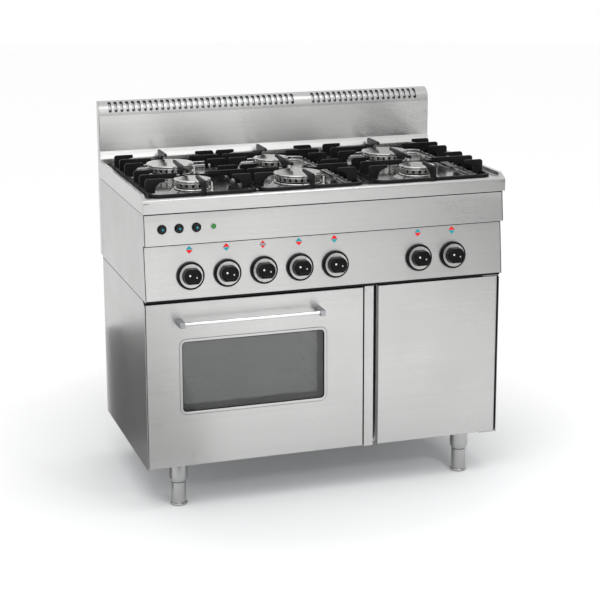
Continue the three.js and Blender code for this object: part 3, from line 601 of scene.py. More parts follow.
def well_outlines():
    """The two wells, under the left and middle pan supports and under the right one."""
    left, centre, right = (corners(f"grate_{zone}") for zone in ZONES)
    spans = ((left[0].x + 17, centre[1].x - 18), (right[0].x + 19, right[1].x - 19))
    return [rectangle(x0, x1, *WELL_YS, WELL_CORNER, 10) for x0, x1 in spans]


def cap_radius(place):
    low, high = corners(f"burner_cap_{place}")
    return (high.x - low.x) / 2


def worktop():
    reach = EDGE_X - RIM_FOOT
    wells = well_outlines()
    deck = plate(rectangle(-reach, reach, LIP_Y + 20, WORKTOP_HIGH.y), DECK - SHEET, DECK, along_z,
                 holes=[grown(well, 3) for well in wells], edge=(0, 0))
    upstand = block(-484, 484, WORKTOP_HIGH.y - SHEET, WORKTOP_HIGH.y, DECK - SHEET, WORKTOP_HIGH.z)
    collars = [burner_collar(f"burner_{row}_{zone}", cap_radius(f"{row}_{zone}"))
               for zone in ZONES for row in ROWS]
    make("worktop_skin", "cabinet", "stainless", [side_rim(-1), side_rim(1), front_lip(), upstand],
         stands_for=["worktop"], smooth=40)
    pressed = make("worktop_wells", "cabinet", "stainless", [deck, *map(spill_well, wells), *collars],
                   smooth=40)
    # The deck and wells get the darker steel: painted shade under the pan supports.
    pressed.data.materials[0] = FINISH["well_steel_painted_shade"]


# ---- burners and pan supports -------------------------------------------------------------------
def burner(place):
    """A burner body: bowl, polished base ring and a crown with flame ports all round."""
    node = f"burner_{place}"
    low, high = corners(node)
    centre = middle(node)
    cap = cap_radius(place)
    crown, bowl = cap - 4, cap - 16
    seat, top = DECK - 5.7, high.z
    ring_top = seat + 4.6
    crown_foot = ring_top + 2.2
    body = turned([
        (0, low.z), (bowl - 6, low.z), (bowl, low.z + 10), (bowl, seat), (cap - 1, seat),
        (cap - 0.1, seat + 1), (cap - 0.1, seat + 2.2), *arc(cap - 2.5, ring_top - 2.4, 2.4, 0, 85, 4),
        (crown - 5, ring_top), (0, ring_top),
    ])
    wall = 5
    foot_ring = turned_ring([(crown - wall, crown_foot), (crown - 0.5, crown_foot), (crown, crown_foot + 0.5),
                             (crown, crown_foot + 1.8), (crown - wall, crown_foot + 1.8)])
    head_ring = turned_ring([(crown - wall, top - 2.2), (crown, top - 2.2), (crown, top - 1.4),
                             *arc(crown - 1.4, top - 1.4, 1.4, 10, 90, 3), (crown - wall, top)])
    ports = 4 * round(crown * 0.09)
    half = math.pi * crown / ports * 0.6
    lands = [moved(block(crown - wall, crown, -half, half, crown_foot + 1.5, top - 2, 0.3),
                   turn=Matrix.Rotation(math.tau * k / ports, 3, "Z")) for k in range(ports)]
    shells = [moved(shell, at=(centre.x, centre.y, 0)) for shell in (body, foot_ring, head_ring, *lands)]
    make(f"{node}_crown", "cabinet", "burner_alloy", shells, stands_for=[node])
    # A black fill inside the crown: painted shade in the hollow behind the flame ports.
    inner = crown - wall - 0.3
    throat = turned([(0, ring_top - 0.5), (inner, ring_top - 0.5), (inner, top), (0, top)])
    make(f"{node}_throat", "cabinet", "black_edge", [moved(throat, at=(centre.x, centre.y, 0))])


def burner_cap(place):
    """A thin polished lid on a narrower seat."""
    node = f"burner_cap_{place}"
    low, high = corners(node)
    radius = (high.x - low.x) / 2
    plate_low = high.z - 3.6
    profile = [
        (0, low.z), (radius - 10, low.z), (radius - 10, plate_low), (radius - 1, plate_low),
        *arc(radius - 1.6, plate_low + 1.6, 1.6, -60, 50, 5), (radius - 5, high.z - 0.4),
        (radius - 8, high.z), (radius - 11, high.z - 0.1), (radius - 13, high.z - 0.8), (0, high.z - 1),
    ]
    centre = middle(node)
    make(f"{node}_lid", node, "cap_steel", [moved(turned(profile, 64), at=(centre.x, centre.y, 0))],
         stands_for=[node])


def ignition(place):
    """The spark electrode and the thermocouple that stand beside one burner's cap."""
    centre = middle(f"burner_{place}")
    cap = cap_radius(place)
    floor = DECK - WELL_DEPTH

    def beside(angle, gap):
        t = math.radians(angle)
        return centre.x + (cap + gap) * math.cos(t), centre.y + (cap + gap) * math.sin(t), 0

    stick = turned([(0, floor), (3.6, floor), (3.6, floor + 5), (2.1, floor + 6), (2.1, floor + 25),
                    *arc(1.1, floor + 25, 1, 0, 90, 3), (0, floor + 26)], 20)
    make(f"electrode_{place}", "cabinet", "ceramic_white", [moved(stick, at=beside(-40, 8))])
    spark_route = [(0, 0, floor + 25), (0, 0, floor + 27.5), (-2, 1.4, floor + 29), (-5.5, 4, floor + 29.2)]
    spark = wire(spark_route, 0.7, 8)
    make(f"spark_wire_{place}", "cabinet", "fastener_steel", [moved(spark, at=beside(-40, 8))])
    nut = plate([(5.2 * math.cos(math.tau * k / 6), 5.2 * math.sin(math.tau * k / 6)) for k in range(6)],
                floor + 2, floor + 8, along_z)
    probe = turned([(0, floor), (2.6, floor), (2.6, floor + 20), *arc(0.9, floor + 20, 1.7, 0, 90, 3),
                    (0, floor + 21.7)], 16)
    make(f"thermocouple_{place}", "cabinet", "brass_tip",
         [moved(nut, at=beside(-72, 8)), moved(probe, at=beside(-72, 8))])


GRATE_BAR = 9
GRATE_BASE = 8
FIN = 7
RIB_PITCH = 68
TIP_CLEARANCE = 8
WIDEST_TIP = 60
SIDE_REACH = 55
INNER_REACH = 45


def rib_tip(length, foot, low, top):
    """The free end and the curved underside of a rib, as (distance from its root, height)."""
    end_z, root_z = top - 9, low + 5.7
    turns = (math.pi / 2 * k / 8 for k in range(9))
    underside = [(foot + (length - 3 - foot) * (1 - math.sin(u)), root_z + (end_z - root_z) * math.cos(u))
                 for u in turns]
    return [(length, top, 3.5), *underside, (foot, low)]


def grate(zone):
    """A cast pan support: a rounded frame, a crossbar and the ribs that point at its two burners."""
    node = f"grate_{zone}"
    low, high = corners(node)
    centre = (low + high) / 2
    half = (high.x - low.x) / 2
    bottom, top = low.z, high.z
    base = bottom + GRATE_BASE
    section = [(-GRATE_BAR, bottom + 1), (-GRATE_BAR + 1, bottom), (-1, bottom), (0, bottom + 1),
               (0, base - 2.5), (-0.8, base - 0.8), (-2.5, base), (-GRATE_BAR + 2.5, base),
               (-GRATE_BAR + 0.8, base - 0.8), (-GRATE_BAR, base - 2.5)]
    frame_bar = swept(rectangle(low.x, high.x, low.y, high.y, 28, 10), section, along_z)
    bar_half = GRATE_BAR / 2
    crossbar = block(low.x + 2, high.x - 2, centre.y - bar_half, centre.y + bar_half, bottom, base, 2)
    shells = [frame_bar, crossbar]
    rounding = (1.7, 1.7)

    def rib(length, foot):
        return [(0, bottom), (0, top, 7), *rib_tip(length, foot, bottom, top)]

    for row in ROWS:
        burner_y = middle(f"burner_{row}_{zone}").y
        reach = half - min(cap_radius(f"{row}_{zone}"), WIDEST_TIP) + TIP_CLEARANCE
        for offset, length in ((-RIB_PITCH, SIDE_REACH), (0, reach), (RIB_PITCH, SIDE_REACH)):
            y = burner_y + offset
            profile = softened(rib(length, 26), 5)
            for root, way in ((low.x, 1), (high.x, -1)):
                outline = [(root + way * u, z) for u, z in profile]
                shells.append(plate(outline, y - FIN / 2, y + FIN / 2, along_y, edge=rounding))
    front_y = middle(f"burner_front_{zone}").y
    end_rib = softened(rib(front_y - INNER_REACH - low.y, 30), 5)
    half_bridge = rib_tip(centre.y - front_y - INNER_REACH, 6, bottom, top)
    bridge = softened([(centre.y + u, *rest) for u, *rest in half_bridge]
                      + [(centre.y - u, *rest) for u, *rest in reversed(half_bridge)], 5)
    for profile in ([(low.y + u, z) for u, z in end_rib], [(high.y - u, z) for u, z in end_rib], bridge):
        shells.append(plate(profile, centre.x - FIN / 2, centre.x + FIN / 2, along_x, edge=rounding))
    make(f"pan_support_{zone}", node, "cast_iron", shells, stands_for=[node])


# ---- the tilted front faces ---------------------------------------------------------------------
FACE_TILT = math.radians(6)
KNOBS = ("burner_knob_1", "burner_knob_2", "oven_knob", "burner_knob_3", "burner_knob_4", "burner_knob_5",
         "burner_knob_6")
BUTTONS = ("igniter_button_1", "igniter_button_2", "igniter_button_3")
PANEL_LOW = corners("control_panel")[0]
DOOR_LOW, DOOR_HIGH = corners("oven_door_panel")
FASCIA_LOW = corners("upper_fascia")[0]
PANEL_HIGH_X = corners("control_panel")[1].x


def face_y(low, z):
    """Y of a tilted front face at a height."""
    return low.y + (z - low.z) * math.tan(FACE_TILT)


def on_face(shell, low, x, z):
    """Turns a shell drawn about +Z so that +Z points out of a tilted face, and sets it there."""
    return moved(shell, at=(x, face_y(low, z), z), turn=Matrix.Rotation(math.pi / 2 - FACE_TILT, 3, "X"))


KNOB_Z = 642
KNOB_RADIUS = 37
SKIRT_DEPTH = 13
DIAL_RADIUS = 31
KNOB_DEPTH = 36
GRIP_RADIUS = 23.5
GRIP_HALF = 20


def grip_outline():
    """The grip seen from the front: round, with a flat above and below."""
    lean = math.degrees(math.asin(GRIP_HALF / GRIP_RADIUS))
    return [*arc(0, 0, GRIP_RADIUS, -lean, lean, 14), *arc(0, 0, GRIP_RADIUS, 180 - lean, 180 + lean, 14)]


def knob(node):
    x = middle(node).x
    rim = KNOB_RADIUS - 2.2

    def set_on(shell):
        return on_face(shell, PANEL_LOW, x, KNOB_Z)

    skirt = turned([
        (0, 0.8), (KNOB_RADIUS - 0.8, 0.8), (KNOB_RADIUS, 1.6), (KNOB_RADIUS - 0.3, SKIRT_DEPTH - 6),
        *arc(rim - 1.6, SKIRT_DEPTH - 1.6, 1.6, 20, 90, 5), (DIAL_RADIUS + 0.4, SKIRT_DEPTH),
        (DIAL_RADIUS + 0.2, SKIRT_DEPTH - 0.7), (0, SKIRT_DEPTH - 0.7),
    ], 72)
    outline = grip_outline()
    top = KNOB_DEPTH
    rings = [(1.4, SKIRT_DEPTH - 1), (0.6, SKIRT_DEPTH + 2), (0, SKIRT_DEPTH + 8), (-0.4, top - 5),
             *((-0.4 - 4.5 * (1 - math.cos(u)), top - 4.5 + 4.5 * math.sin(u))
               for u in (math.pi / 2 * k / 6 for k in range(1, 7))),
             (-7, top), (-8, top - 0.8)]
    grip = skin([[along_z(a, b, z) for a, b in grown(outline, offset)] for offset, z in rings])
    make(f"{node}_grip", node, "knob_plastic", [set_on(skirt), set_on(grip)], stands_for=[node])
    face = SKIRT_DEPTH - 0.7
    dial = turned_ring([(18, face - 0.5), (DIAL_RADIUS, face - 0.5), (DIAL_RADIUS, face + 0.1),
                        (DIAL_RADIUS - 0.3, face + 0.3), (18, face + 0.3)], 72)
    make(f"{node}_dial", node, "knob_dial", [set_on(dial)])
    ticks = range(-200, 71, 30) if node == "oven_knob" else (2, 62)
    marks = [set_on(moved(plate(rectangle(27.6, 30.4, -0.6, 0.6), face, face + 0.45, along_z, edge=(0, 0.15)),
                          turn=Matrix.Rotation(math.radians(angle), 3, "Z"))) for angle in ticks]
    make(f"{node}_ticks", node, "black_edge", marks)

    def spot(radius, across, up):
        shell = turned([(0, -1), (radius, -1), (radius, 0.1), (radius - 0.3, 0.35), (0, 0.35)], 20)
        return set_on(moved(shell, at=(across, up, top - 0.8)))

    make(f"{node}_pointer", node, "ceramic_white", [spot(2.6, -9, 4)])
    make(f"{node}_screw_cover", node, "manifold_metal", [spot(2.2, 9, -2)])


MARK_Z = 709
MARK_HALF = 9.6


def burner_marks():
    """A small printed diamond over each knob that shows which burner it feeds."""
    teal, red, grey = [], [], []
    lift = 0.25
    flat = (0, 0.1)
    for index, node in enumerate(KNOBS):
        x = middle(node).x
        top = [(-MARK_HALF, 0.4), (MARK_HALF, 0.4), (0, MARK_HALF + 1)]
        bottom = [(0, -MARK_HALF - 1), (MARK_HALF, -0.4), (-MARK_HALF, -0.4)]
        if node == "oven_knob":
            band = [(-MARK_HALF, 0), (-MARK_HALF + 2.5, -2.4), (MARK_HALF - 2.5, -2.4), (MARK_HALF, 0),
                    (MARK_HALF - 2.5, 2.4), (-MARK_HALF + 2.5, 2.4)]
            tip = [(-6.6, 3), (6.6, 3), (0, MARK_HALF + 1)]
            layers = [(red, tip), (red, [(a, -b) for a, b in reversed(tip)]), (grey, band)]
        else:
            upper, lower = (teal, red) if index in (0, 3, 5) else (red, teal)
            layers = [(upper, top), (lower, bottom)]
        for group, outline in layers:
            group.append(on_face(plate(outline, -0.2, lift, along_z, edge=flat), PANEL_LOW, x, MARK_Z))
    make("burner_marks_teal", "cabinet", "print_teal", teal)
    make("burner_marks_red", "cabinet", "print_red", red)
    band = make("burner_marks_grey", "cabinet", "print_teal", grey)
    band.data.materials[0] = FINISH["print_grey"]


BUTTON_Z = 769.5


def igniters_and_lamp():
    bezels = []
    for node in BUTTONS:
        x = middle(node).x
        cap = turned([(0, 4.6), (9.6, 4.6), (10, 5), (10, 8.4), *arc(7.4, 8.4, 2.6, 0, 90, 5), (3, 10.6),
                      (0, 10.2)], 48)
        shank = turned([(0, -12), (7, -12), (7, 5), (0, 5)], 32)
        make(f"{node}_cap", node, "button_plastic",
             [on_face(shell, FASCIA_LOW, x, BUTTON_Z) for shell in (cap, shank)], stands_for=[node])
        ring = turned_ring([(7.8, 0.1), (12.4, 0.1), (12.4, 1.6), (11.6, 2.8), (10.8, 3.1), (10.5, 2.6),
                            (10.5, 1.4), (7.8, 1.4)], 48)
        bezels.append(on_face(ring, FASCIA_LOW, x, BUTTON_Z))
    make("button_bezels", "cabinet", "black_edge", bezels)
    x = middle("signal_lamp").x
    lens = turned([(0, -14), (6, -14), (6, 0.3), (6.6, 0.3), (6.6, 2.6), *arc(3.4, 2.8, 3.2, 0, 80, 5),
                   (0, 6.4)], 40)
    make("signal_lamp_lens", "cabinet", "lamp_green", [on_face(lens, FASCIA_LOW, x, BUTTON_Z)],
         stands_for=["signal_lamp"])
    ring = turned_ring([(6.8, 0.1), (8, 0.1), (8, 1.8), (7.5, 2.5), (6.9, 2.5)], 40)
    make("signal_lamp_bezel", "cabinet", "fastener_steel", [on_face(ring, FASCIA_LOW, x, BUTTON_Z)])
    for node in BUTTONS:
        spark = [(r * math.cos(math.tau * k / 8), r * math.sin(math.tau * k / 8))
                 for k, r in enumerate([4.6, 1.5] * 4)]
        mark = on_face(plate(spark, 9.9, 10.75, along_z, edge=(0, 0.1)), FASCIA_LOW, middle(node).x, BUTTON_Z)
        make(f"{node}_mark", node, "print_teal", [mark])


# ---- cabinet ------------------------------------------------------------------------------------
def cabinet_panels():
    """Folded sheet panels: the CAD shapes with rounded folds."""
    for node, slot in (("upper_fascia", "stainless"), ("control_panel", "stainless"),
                       ("front_frame", "stainless"), ("divider_wall", "stainless"),
                       ("base_panel", "galvanised"), ("back_panel", "galvanised")):
        make(f"{node}_skin", "cabinet", slot, [soft_copy(node, 0.35)], stands_for=[node])
    for node in SIDE_NODES:
        piece = make(f"{node}_skin", "cabinet", "stainless", [soft_copy(node, 0.4)], stands_for=[node])
        # The side panels get the darker steel: painted shade.
        piece.data.materials[0] = FINISH["side_steel_painted_shade"]


def gap_shadow_strips():
    """Black strips in the joints between the front sheets and in the side seams: painted shadow in the gaps.
    """
    edge = PANEL_HIGH_X - 0.4
    step_z = FASCIA_LOW.z
    strips = []

    # Each bead is a thin black strip, a little proud of the face: painted shadow in a joint.
    def bead(low, x, z, half_width, half_height):
        outline = rectangle(x - half_width, x + half_width, -half_height, half_height)
        strips.append(on_face(plate(outline, -0.4, 0.25, along_z, edge=(0, 0.15)), low, 0, z))

    bead(FASCIA_LOW, 0, LIP_BOTTOM - 3.9, edge, 1.3)
    bead(PANEL_LOW, 0, step_z - 4.2, edge, 1.7)
    for side in (-1, 1):
        bead(FASCIA_LOW, side * edge, (step_z + LIP_BOTTOM) / 2, 0.8, (LIP_BOTTOM - step_z) / 2 - 1)
        bead(PANEL_LOW, side * edge, (PANEL_LOW.z + step_z) / 2, 0.8, (step_z - PANEL_LOW.z) / 2 - 1)
    make("front_joint_shadow_strips", "cabinet", "black_edge", strips)
    # Black strips in the side seams: painted shadow.
    wall = corners("lower_side_right")[1]
    joints = ((wall.z - 0.5, 0.8), (LIP_BOTTOM - 2.6, 0.9))
    faces = [sorted((side * (wall.x - 0.4), side * (wall.x + 0.2))) for side in (-1, 1)]
    side_strips = [block(*across, 0, wall.y - 2, z - half, z + half) for across in faces for z, half in joints]
    make("side_joint_shadow_strips", "cabinet", "black_edge", side_strips)
    # Black fills over the doors and beside the oven door: painted shadow in the door gaps.
    stile = corners("divider_wall")[0]
    over_doors = block(-edge, edge, -5, 26, DOOR_HIGH.z + 5, PANEL_LOW.z + 0.4)
    beside_oven = block(stile.x - 0.9, stile.x + 0.2, 2.2, 34, DOOR_LOW.z + 2, DOOR_HIGH.z - 2)
    make("door_gap_shadow_strips", "cabinet", "black_edge", [over_doors, beside_oven])


def legs_and_feet():
    for end in ROWS:
        for side in ("left", "right"):
            leg, foot = f"leg_{end}_{side}", f"foot_{end}_{side}"
            foot_low, foot_high = corners(foot)
            centre = (foot_low + foot_high) / 2
            leg_low, leg_high = corners(leg)
            pad = (foot_high.x - foot_low.x) / 2
            bottom, radius = leg_low.z, 25
            sleeve = turned_ring([
                (15, bottom), (radius - 5, bottom), (radius - 3.4, bottom + 1.2), (radius - 1, bottom + 8),
                (radius, bottom + 13), (radius, leg_high.z - 1), (15, leg_high.z - 1)])
            plate_outline = rectangle(leg_low.x, leg_high.x, leg_low.y, leg_high.y, 6, 4)
            flange = plate(plate_outline, leg_high.z - 3, leg_high.z, along_z)
            make(f"{leg}_sleeve", "cabinet", "leg_steel",
                 [moved(sleeve, at=(centre.x, centre.y, 0)), flange], stands_for=[leg])
            body = turned([
                (0, 0), (pad - 1.5, 0), (pad - 0.4, 0.6), (pad, 2), (pad, 5), (pad - 0.8, 7.2),
                (pad - 2.6, 8.4), (20, 10), (20, bottom - 2.2), (19, bottom - 1.2), (13, bottom - 1.2),
                (13, foot_high.z), (0, foot_high.z)])
            make(f"{foot}_body", foot, "leg_steel", [moved(body, at=(centre.x, centre.y, 0))],
                 stands_for=[foot])


# ---- flue ---------------------------------------------------------------------------------------
BACK_Y = corners("flue_housing")[1].y
TOP_Z = corners("flue_housing")[1].z
GRILLE_LOW, GRILLE_HIGH = corners("flue_grille")
HOOD_RADIUS = BACK_Y - GRILLE_LOW.y
SPRINGING = TOP_Z - HOOD_RADIUS
SLOT = 9
SLOT_PITCH = 16.9
SLOT_FOOT_Z = 997
SLOT_RUNS = ((-467, 33), (137, 20))
HOOD_BACK_GAP = 0.2


def hood_point(x, s, depth):
    """A point of the curved hood. s runs up the sheet from its foot, and depth goes into it."""
    rise = SPRINGING - GRILLE_LOW.z
    if s <= rise:
        return Vector((x, GRILLE_LOW.y + depth, GRILLE_LOW.z + s))
    t = (s - rise) / HOOD_RADIUS
    radius = HOOD_RADIUS - depth
    return Vector((x, BACK_Y - radius * math.cos(t), SPRINGING + radius * math.sin(t)))


def flue_grille():
    """The curved hood sheet with its two runs of round-ended slots, and the baffle behind them."""
    rise = SPRINGING - GRILLE_LOW.z
    whole = rise + HOOD_RADIUS * math.pi / 2 - HOOD_BACK_GAP
    slot_foot = rise + HOOD_RADIUS * math.asin((SLOT_FOOT_Z - SPRINGING) / HOOD_RADIUS)
    slot_end = rise + HOOD_RADIUS * math.acos(12 / HOOD_RADIUS)
    half = SLOT / 2
    centres = [first + i * SLOT_PITCH for first, count in SLOT_RUNS for i in range(count)]
    quarters = [math.pi / 2 * k / 4 for k in range(-4, 5)]
    ends = [(half * math.sin(u), half * math.cos(u)) for u in quarters]
    columns = [(GRILLE_LOW.x, 0, "left end"),
               *((centre + across, bulge, centre) for centre in centres for across, bulge in ends),
               (GRILLE_HIGH.x, 0, "right end")]
    sheet = bmesh.new()

    def strip(x, s0, s1, steps):
        return [sheet.verts.new(hood_point(x, s0 + (s1 - s0) * k / steps, 0)) for k in range(steps + 1)]

    def web(x, below, above):
        """The edge beside a slot, from the sheet below it to the sheet above it."""
        start, end = slot_foot + half, slot_end - half
        inner = [sheet.verts.new(hood_point(x, start + (end - start) * k / 10, 0)) for k in range(1, 10)]
        return [below[-1], *inner, above[0]]

    def fill(one, two):
        for k in range(len(one) - 1):
            sheet.faces.new((one[k], two[k], two[k + 1], one[k + 1]))

    last = None
    for x, bulge, slot in columns:
        below = strip(x, 0, slot_foot + half - bulge, 4)
        above = strip(x, slot_end - half + bulge, whole, 4)
        if last:
            last_x, last_below, last_above, last_slot = last
            fill(last_below, below)
            fill(last_above, above)
            if slot != last_slot:
                fill(web(last_x, last_below, last_above), web(x, below, above))
        last = (x, below, above, slot)
    bmesh.ops.recalc_face_normals(sheet, faces=sheet.faces)
    bmesh.ops.solidify(sheet, geom=sheet.faces, thickness=SHEET)
    make("flue_grille_sheet", "cabinet", "stainless", [sheet], stands_for=["flue_grille"], smooth=45)
    foot = 180 - math.degrees((slot_foot + 8 - rise) / HOOD_RADIUS)
    radius = HOOD_RADIUS - SHEET - 4
    section = [*arc(BACK_Y, SPRINGING, radius, 92, foot, 16),
               *arc(BACK_Y, SPRINGING, radius - 1, foot, 92, 16)]
    baffle = plate(section, GRILLE_LOW.x + 4, GRILLE_HIGH.x - 4, along_x, edge=(0, 0))
    make("flue_baffle", "cabinet", "galvanised", [baffle])


def backguard():
    low, high = corners("backguard")
    face = low.y + 9
    front = [(face, high.z), (face, high.z - 102, 9), (low.y, high.z - 122, 7), (low.y, low.z)]
    sheet = front + [(a + SHEET, *rest) for a, *rest in reversed(front)]
    panel = plate(softened(sheet, 6), low.x, high.x, along_x, edge=(0.3, 0.3))
    cheek = [(face, high.z), (face, high.z - 102), (low.y, high.z - 122), (low.y, RIM + 2),
             (high.y, RIM + 2), (high.y, high.z)]
    cheeks = [plate(cheek, x, x + SHEET, along_x) for x in (low.x, high.x - SHEET)]
    piece = make("backguard_skin", "cabinet", "stainless", [panel, *cheeks], stands_for=["backguard"])
    # The backguard gets the brighter steel: painted light.
    piece.data.materials[0] = FINISH["backguard_steel_painted_light"]


def flue_housing():
    low, high = corners("flue_housing")
    hood = arc(BACK_Y, SPRINGING, HOOD_RADIUS, 90, 180, 16)
    cheek = [(low.y, low.z), (BACK_Y, low.z), (BACK_Y, TOP_Z), *hood[1:], (GRILLE_LOW.y, GRILLE_LOW.z),
             (low.y + 1, GRILLE_LOW.z)]
    cheeks = [plate(cheek, x, x + SHEET, along_x) for x in (low.x, high.x - SHEET)]
    back = block(low.x, high.x, BACK_Y - SHEET, BACK_Y, low.z, TOP_Z - 0.5)
    foot = block(low.x, high.x, low.y, BACK_Y, low.z, low.z + SHEET)
    make("flue_housing_skin", "cabinet", "stainless", [*cheeks, back, foot], stands_for=["flue_housing"])


def screws():
    """Pan-head screws that hold the flue housing and the back panel."""
    low, high = corners("flue_housing")
    head = [(0, -1), (3.6, -1), (3.6, -0.1), *arc(2.0, -0.1, 1.6, 0, 80, 4), (0.9, 1.5), (0.7, 0.8),
            (0, 0.8)]
    back_low = corners("back_panel")[0]
    back_y = corners("back_panel")[1].y
    facing_back = Matrix.Rotation(-math.pi / 2, 3, "X")
    heads = []
    for x in (-440, -220, 0, 220, 440):
        for z in (low.z + 14, (low.z + high.z) / 2, high.z - 60):
            heads.append(moved(turned(head, 20), at=(x, BACK_Y - 1.6, z), turn=facing_back))
    for x in (-485, -245, 0, 245, 485):
        for z in (back_low.z + 14, low.z - 18):
            heads.append(moved(turned(head, 20), at=(x, back_y, z), turn=facing_back))
    make("sheet_screws", "cabinet", "fastener_steel", heads)


# ---- oven door ----------------------------------------------------------------------------------
WINDOW = {"x": (-403.5, -9.5), "z": (270.5, 464), "radius": 12}
FOLD = 2.2


def window_outline(grow=0):
    (x0, x1), (z0, z1) = WINDOW["x"], WINDOW["z"]
    return grown(rectangle(x0, x1, z0, z1, WINDOW["radius"], 8), grow)


def oven_door():
    """The door's outer pan, its window trim and the seals round the glass."""
    low, high = DOOR_LOW, DOOR_HIGH
    front = plate(rectangle(low.x, high.x, low.z, high.z, 2.5, 5), 0, FOLD, along_y, holes=[window_outline()],
                  edge=(2, 0), steps=5)
    hinge_xs = (low.x + 45, high.x - 45)
    notch = 4.5
    floor_spans = [(low.x, hinge_xs[0] - notch), (hinge_xs[0] + notch, hinge_xs[1] - notch),
                   (hinge_xs[1] + notch, high.x)]
    flanges = [block(low.x, low.x + SHEET, FOLD - 0.3, high.y, low.z, high.z),
               block(high.x - SHEET, high.x, FOLD - 0.3, high.y, low.z, high.z),
               block(low.x, high.x, FOLD - 0.3, high.y, high.z - SHEET, high.z),
               *(block(x0, x1, FOLD - 0.3, high.y, low.z, low.z + SHEET) for x0, x1 in floor_spans)]
    knuckle_outline = rectangle(1, high.y - 1, low.z + 1, low.z + 16, 3, 4)
    pin_hole = circle(10, 130, 3.2, 20)
    knuckles = [plate(knuckle_outline, x + side - 4, x + side + 4, along_x, holes=[pin_hole])
                for x in hinge_xs for side in (-9, 9)]
    make("oven_door_skin", "oven_door", "stainless", [front, *flanges, *knuckles],
         stands_for=["oven_door_panel"])
    trim_section = [(-0.9, 0.4), (-0.9, -0.5), (-0.3, -1.1), (5.4, -1.1), (6, -0.7), (6, 0.4)]
    trim = swept(window_outline(), trim_section, along_y)
    make("window_trim", "oven_door", "stainless", [trim])
    seal_section = [(0.2, 0.2), (0.2, 1.7), (-2.2, 1.7), (-2.2, 0.9), (-1.6, 0.2)]
    seal = swept(window_outline(-0.7), seal_section, along_y)
    bead = swept(window_outline(6), [(-0.2, 0.2), (-0.2, -0.35), (0.9, -0.35), (0.9, 0.2)], along_y)
    make("window_seal", "oven_door", "black_edge", [seal, bead])
    pane = plate(window_outline(-9), high.y + 11.5, high.y + 14, along_y, edge=(0.3, 0.3))
    piece = make("inner_window_pane", "oven_door", "oven_glass", [pane])
    piece.data.materials[0] = FINISH["inner_glass"]
    # Black strips along the door's top and left edges: painted shadow in the gaps round the door.
    top_shadow_strip = block(low.x + 3, high.x - 3, 2.5, high.y - 1, high.z - 0.3, high.z + 0.5)
    side_shadow_strip = block(low.x - 0.9, low.x + 0.2, 2.2, high.y - 1, low.z + 4, high.z - 3)
    make("oven_door_edge_shadow_strips", "oven_door", "black_edge", [top_shadow_strip, side_shadow_strip])


def oven_handle():
    low, high = corners("oven_door_handle")
    blocks = [plate(rectangle(low.y, high.y, low.z, high.z, 2.5, 4), x, x + 14, along_x, edge=(1.2, 1.2))
              for x in (low.x, high.x - 14)]
    bar = turned([(0, low.x + 7), (4.5, low.x + 7), (4.5, high.x - 7), (0, high.x - 7)], 32)
    bar_z = middle("oven_door_handle").z + 1
    bar = moved(bar, at=(0, low.y + 8, bar_z), turn=Matrix.Rotation(math.pi / 2, 3, "Y"))
    make("oven_handle_bar", "oven_door", "handle_steel", [bar], stands_for=["oven_door_handle"])
    ends = make("oven_handle_ends", "oven_door", "handle_steel", blocks)
    ends.data.materials[0] = FINISH["handle_end"]


def oven_rack():
    """A wire shelf: a bent frame, a cross wire and bars from front to back."""
    low, high = corners("oven_rack")
    z = low.z + 3
    loop = rectangle(low.x + 3, high.x - 3, low.y + 3, high.y - 3, 14, 6)
    ring = swept(loop, circle(0, 0, 3, 12), lambda a, b, t: Vector((a, b, z + t)))
    middle_y = (low.y + high.y) / 2
    middle_wire = wire([(low.x + 3, middle_y, z), (high.x - 3, middle_y, z)], 3, 12)
    count = 22
    bars = [wire([(x, low.y + 3, z + 3.4), (x, high.y - 3, z + 3.4)], 1.8, 10)
            for x in (low.x + (high.x - low.x) * (i + 1) / (count + 1) for i in range(count))]
    make("oven_rack_wires", "cabinet", "rack_chrome", [ring, middle_wire, *bars],
         stands_for=["oven_rack"])


# ---- cupboard -----------------------------------------------------------------------------------
def cupboard_door():
    low, high = corners("cupboard_door")
    depth = high.y
    radius = depth / 2
    pin_x = high.x - radius
    outer = [(low.x, depth), (low.x, 0, 2), *arc(pin_x, radius, radius, -90, 90, 16)]
    inner = [*arc(pin_x, radius, radius - SHEET, 90, -90, 16), (low.x + SHEET, SHEET),
             (low.x + SHEET, depth)]
    skin_panel = plate(softened(outer + inner, 5), low.z + 0.7, high.z - 0.7, along_z, edge=(0.5, 0.5))
    plan = softened([(low.x, depth), (low.x, 0, 2), *arc(pin_x, radius, radius, -90, 90, 16)], 5)
    ends = [plate(plan, z, z + SHEET, along_z, holes=[circle(pin_x, radius, 3.3, 20)], edge=(0.6, 0.2))
            for z in (low.z, high.z - SHEET)]
    make("cupboard_door_skin", "cupboard_door", "stainless", [skin_panel, *ends],
         stands_for=["cupboard_door"])
    # A black strip along the door's top edge: painted shadow in the gap over it.
    seal = block(low.x + 3, pin_x - 12, 2.5, depth - 1, high.z - 0.3, high.z + 0.5)
    make("cupboard_door_edge_shadow_strip", "cupboard_door", "black_edge", [seal])
    rivet = [(0, -0.2), (1.5, -0.2), (1.5, 0.1), (1, 0.4), (0, 0.5)]
    facing_front = Matrix.Rotation(math.pi / 2, 3, "X")
    spots = [moved(turned(rivet, 16), at=(x, 0, 359), turn=facing_front) for x in (216, 309)]
    make("magnet_plate_rivets", "cupboard_door", "fastener_steel", spots)


# ---- gas side -----------------------------------------------------------------------------------
def bent(points, radius, steps=6):
    """A route of straight runs with round bends, as points."""
    points = [Vector(point) for point in points]
    route = [points[0]]
    for before, corner, after in zip(points, points[1:], points[2:]):
        start = corner + (before - corner).normalized() * radius
        end = corner + (after - corner).normalized() * radius
        for k in range(steps + 1):
            t = k / steps
            route.append(start * (1 - t) ** 2 + corner * 2 * t * (1 - t) + end * t * t)
    return [*route, points[-1]]


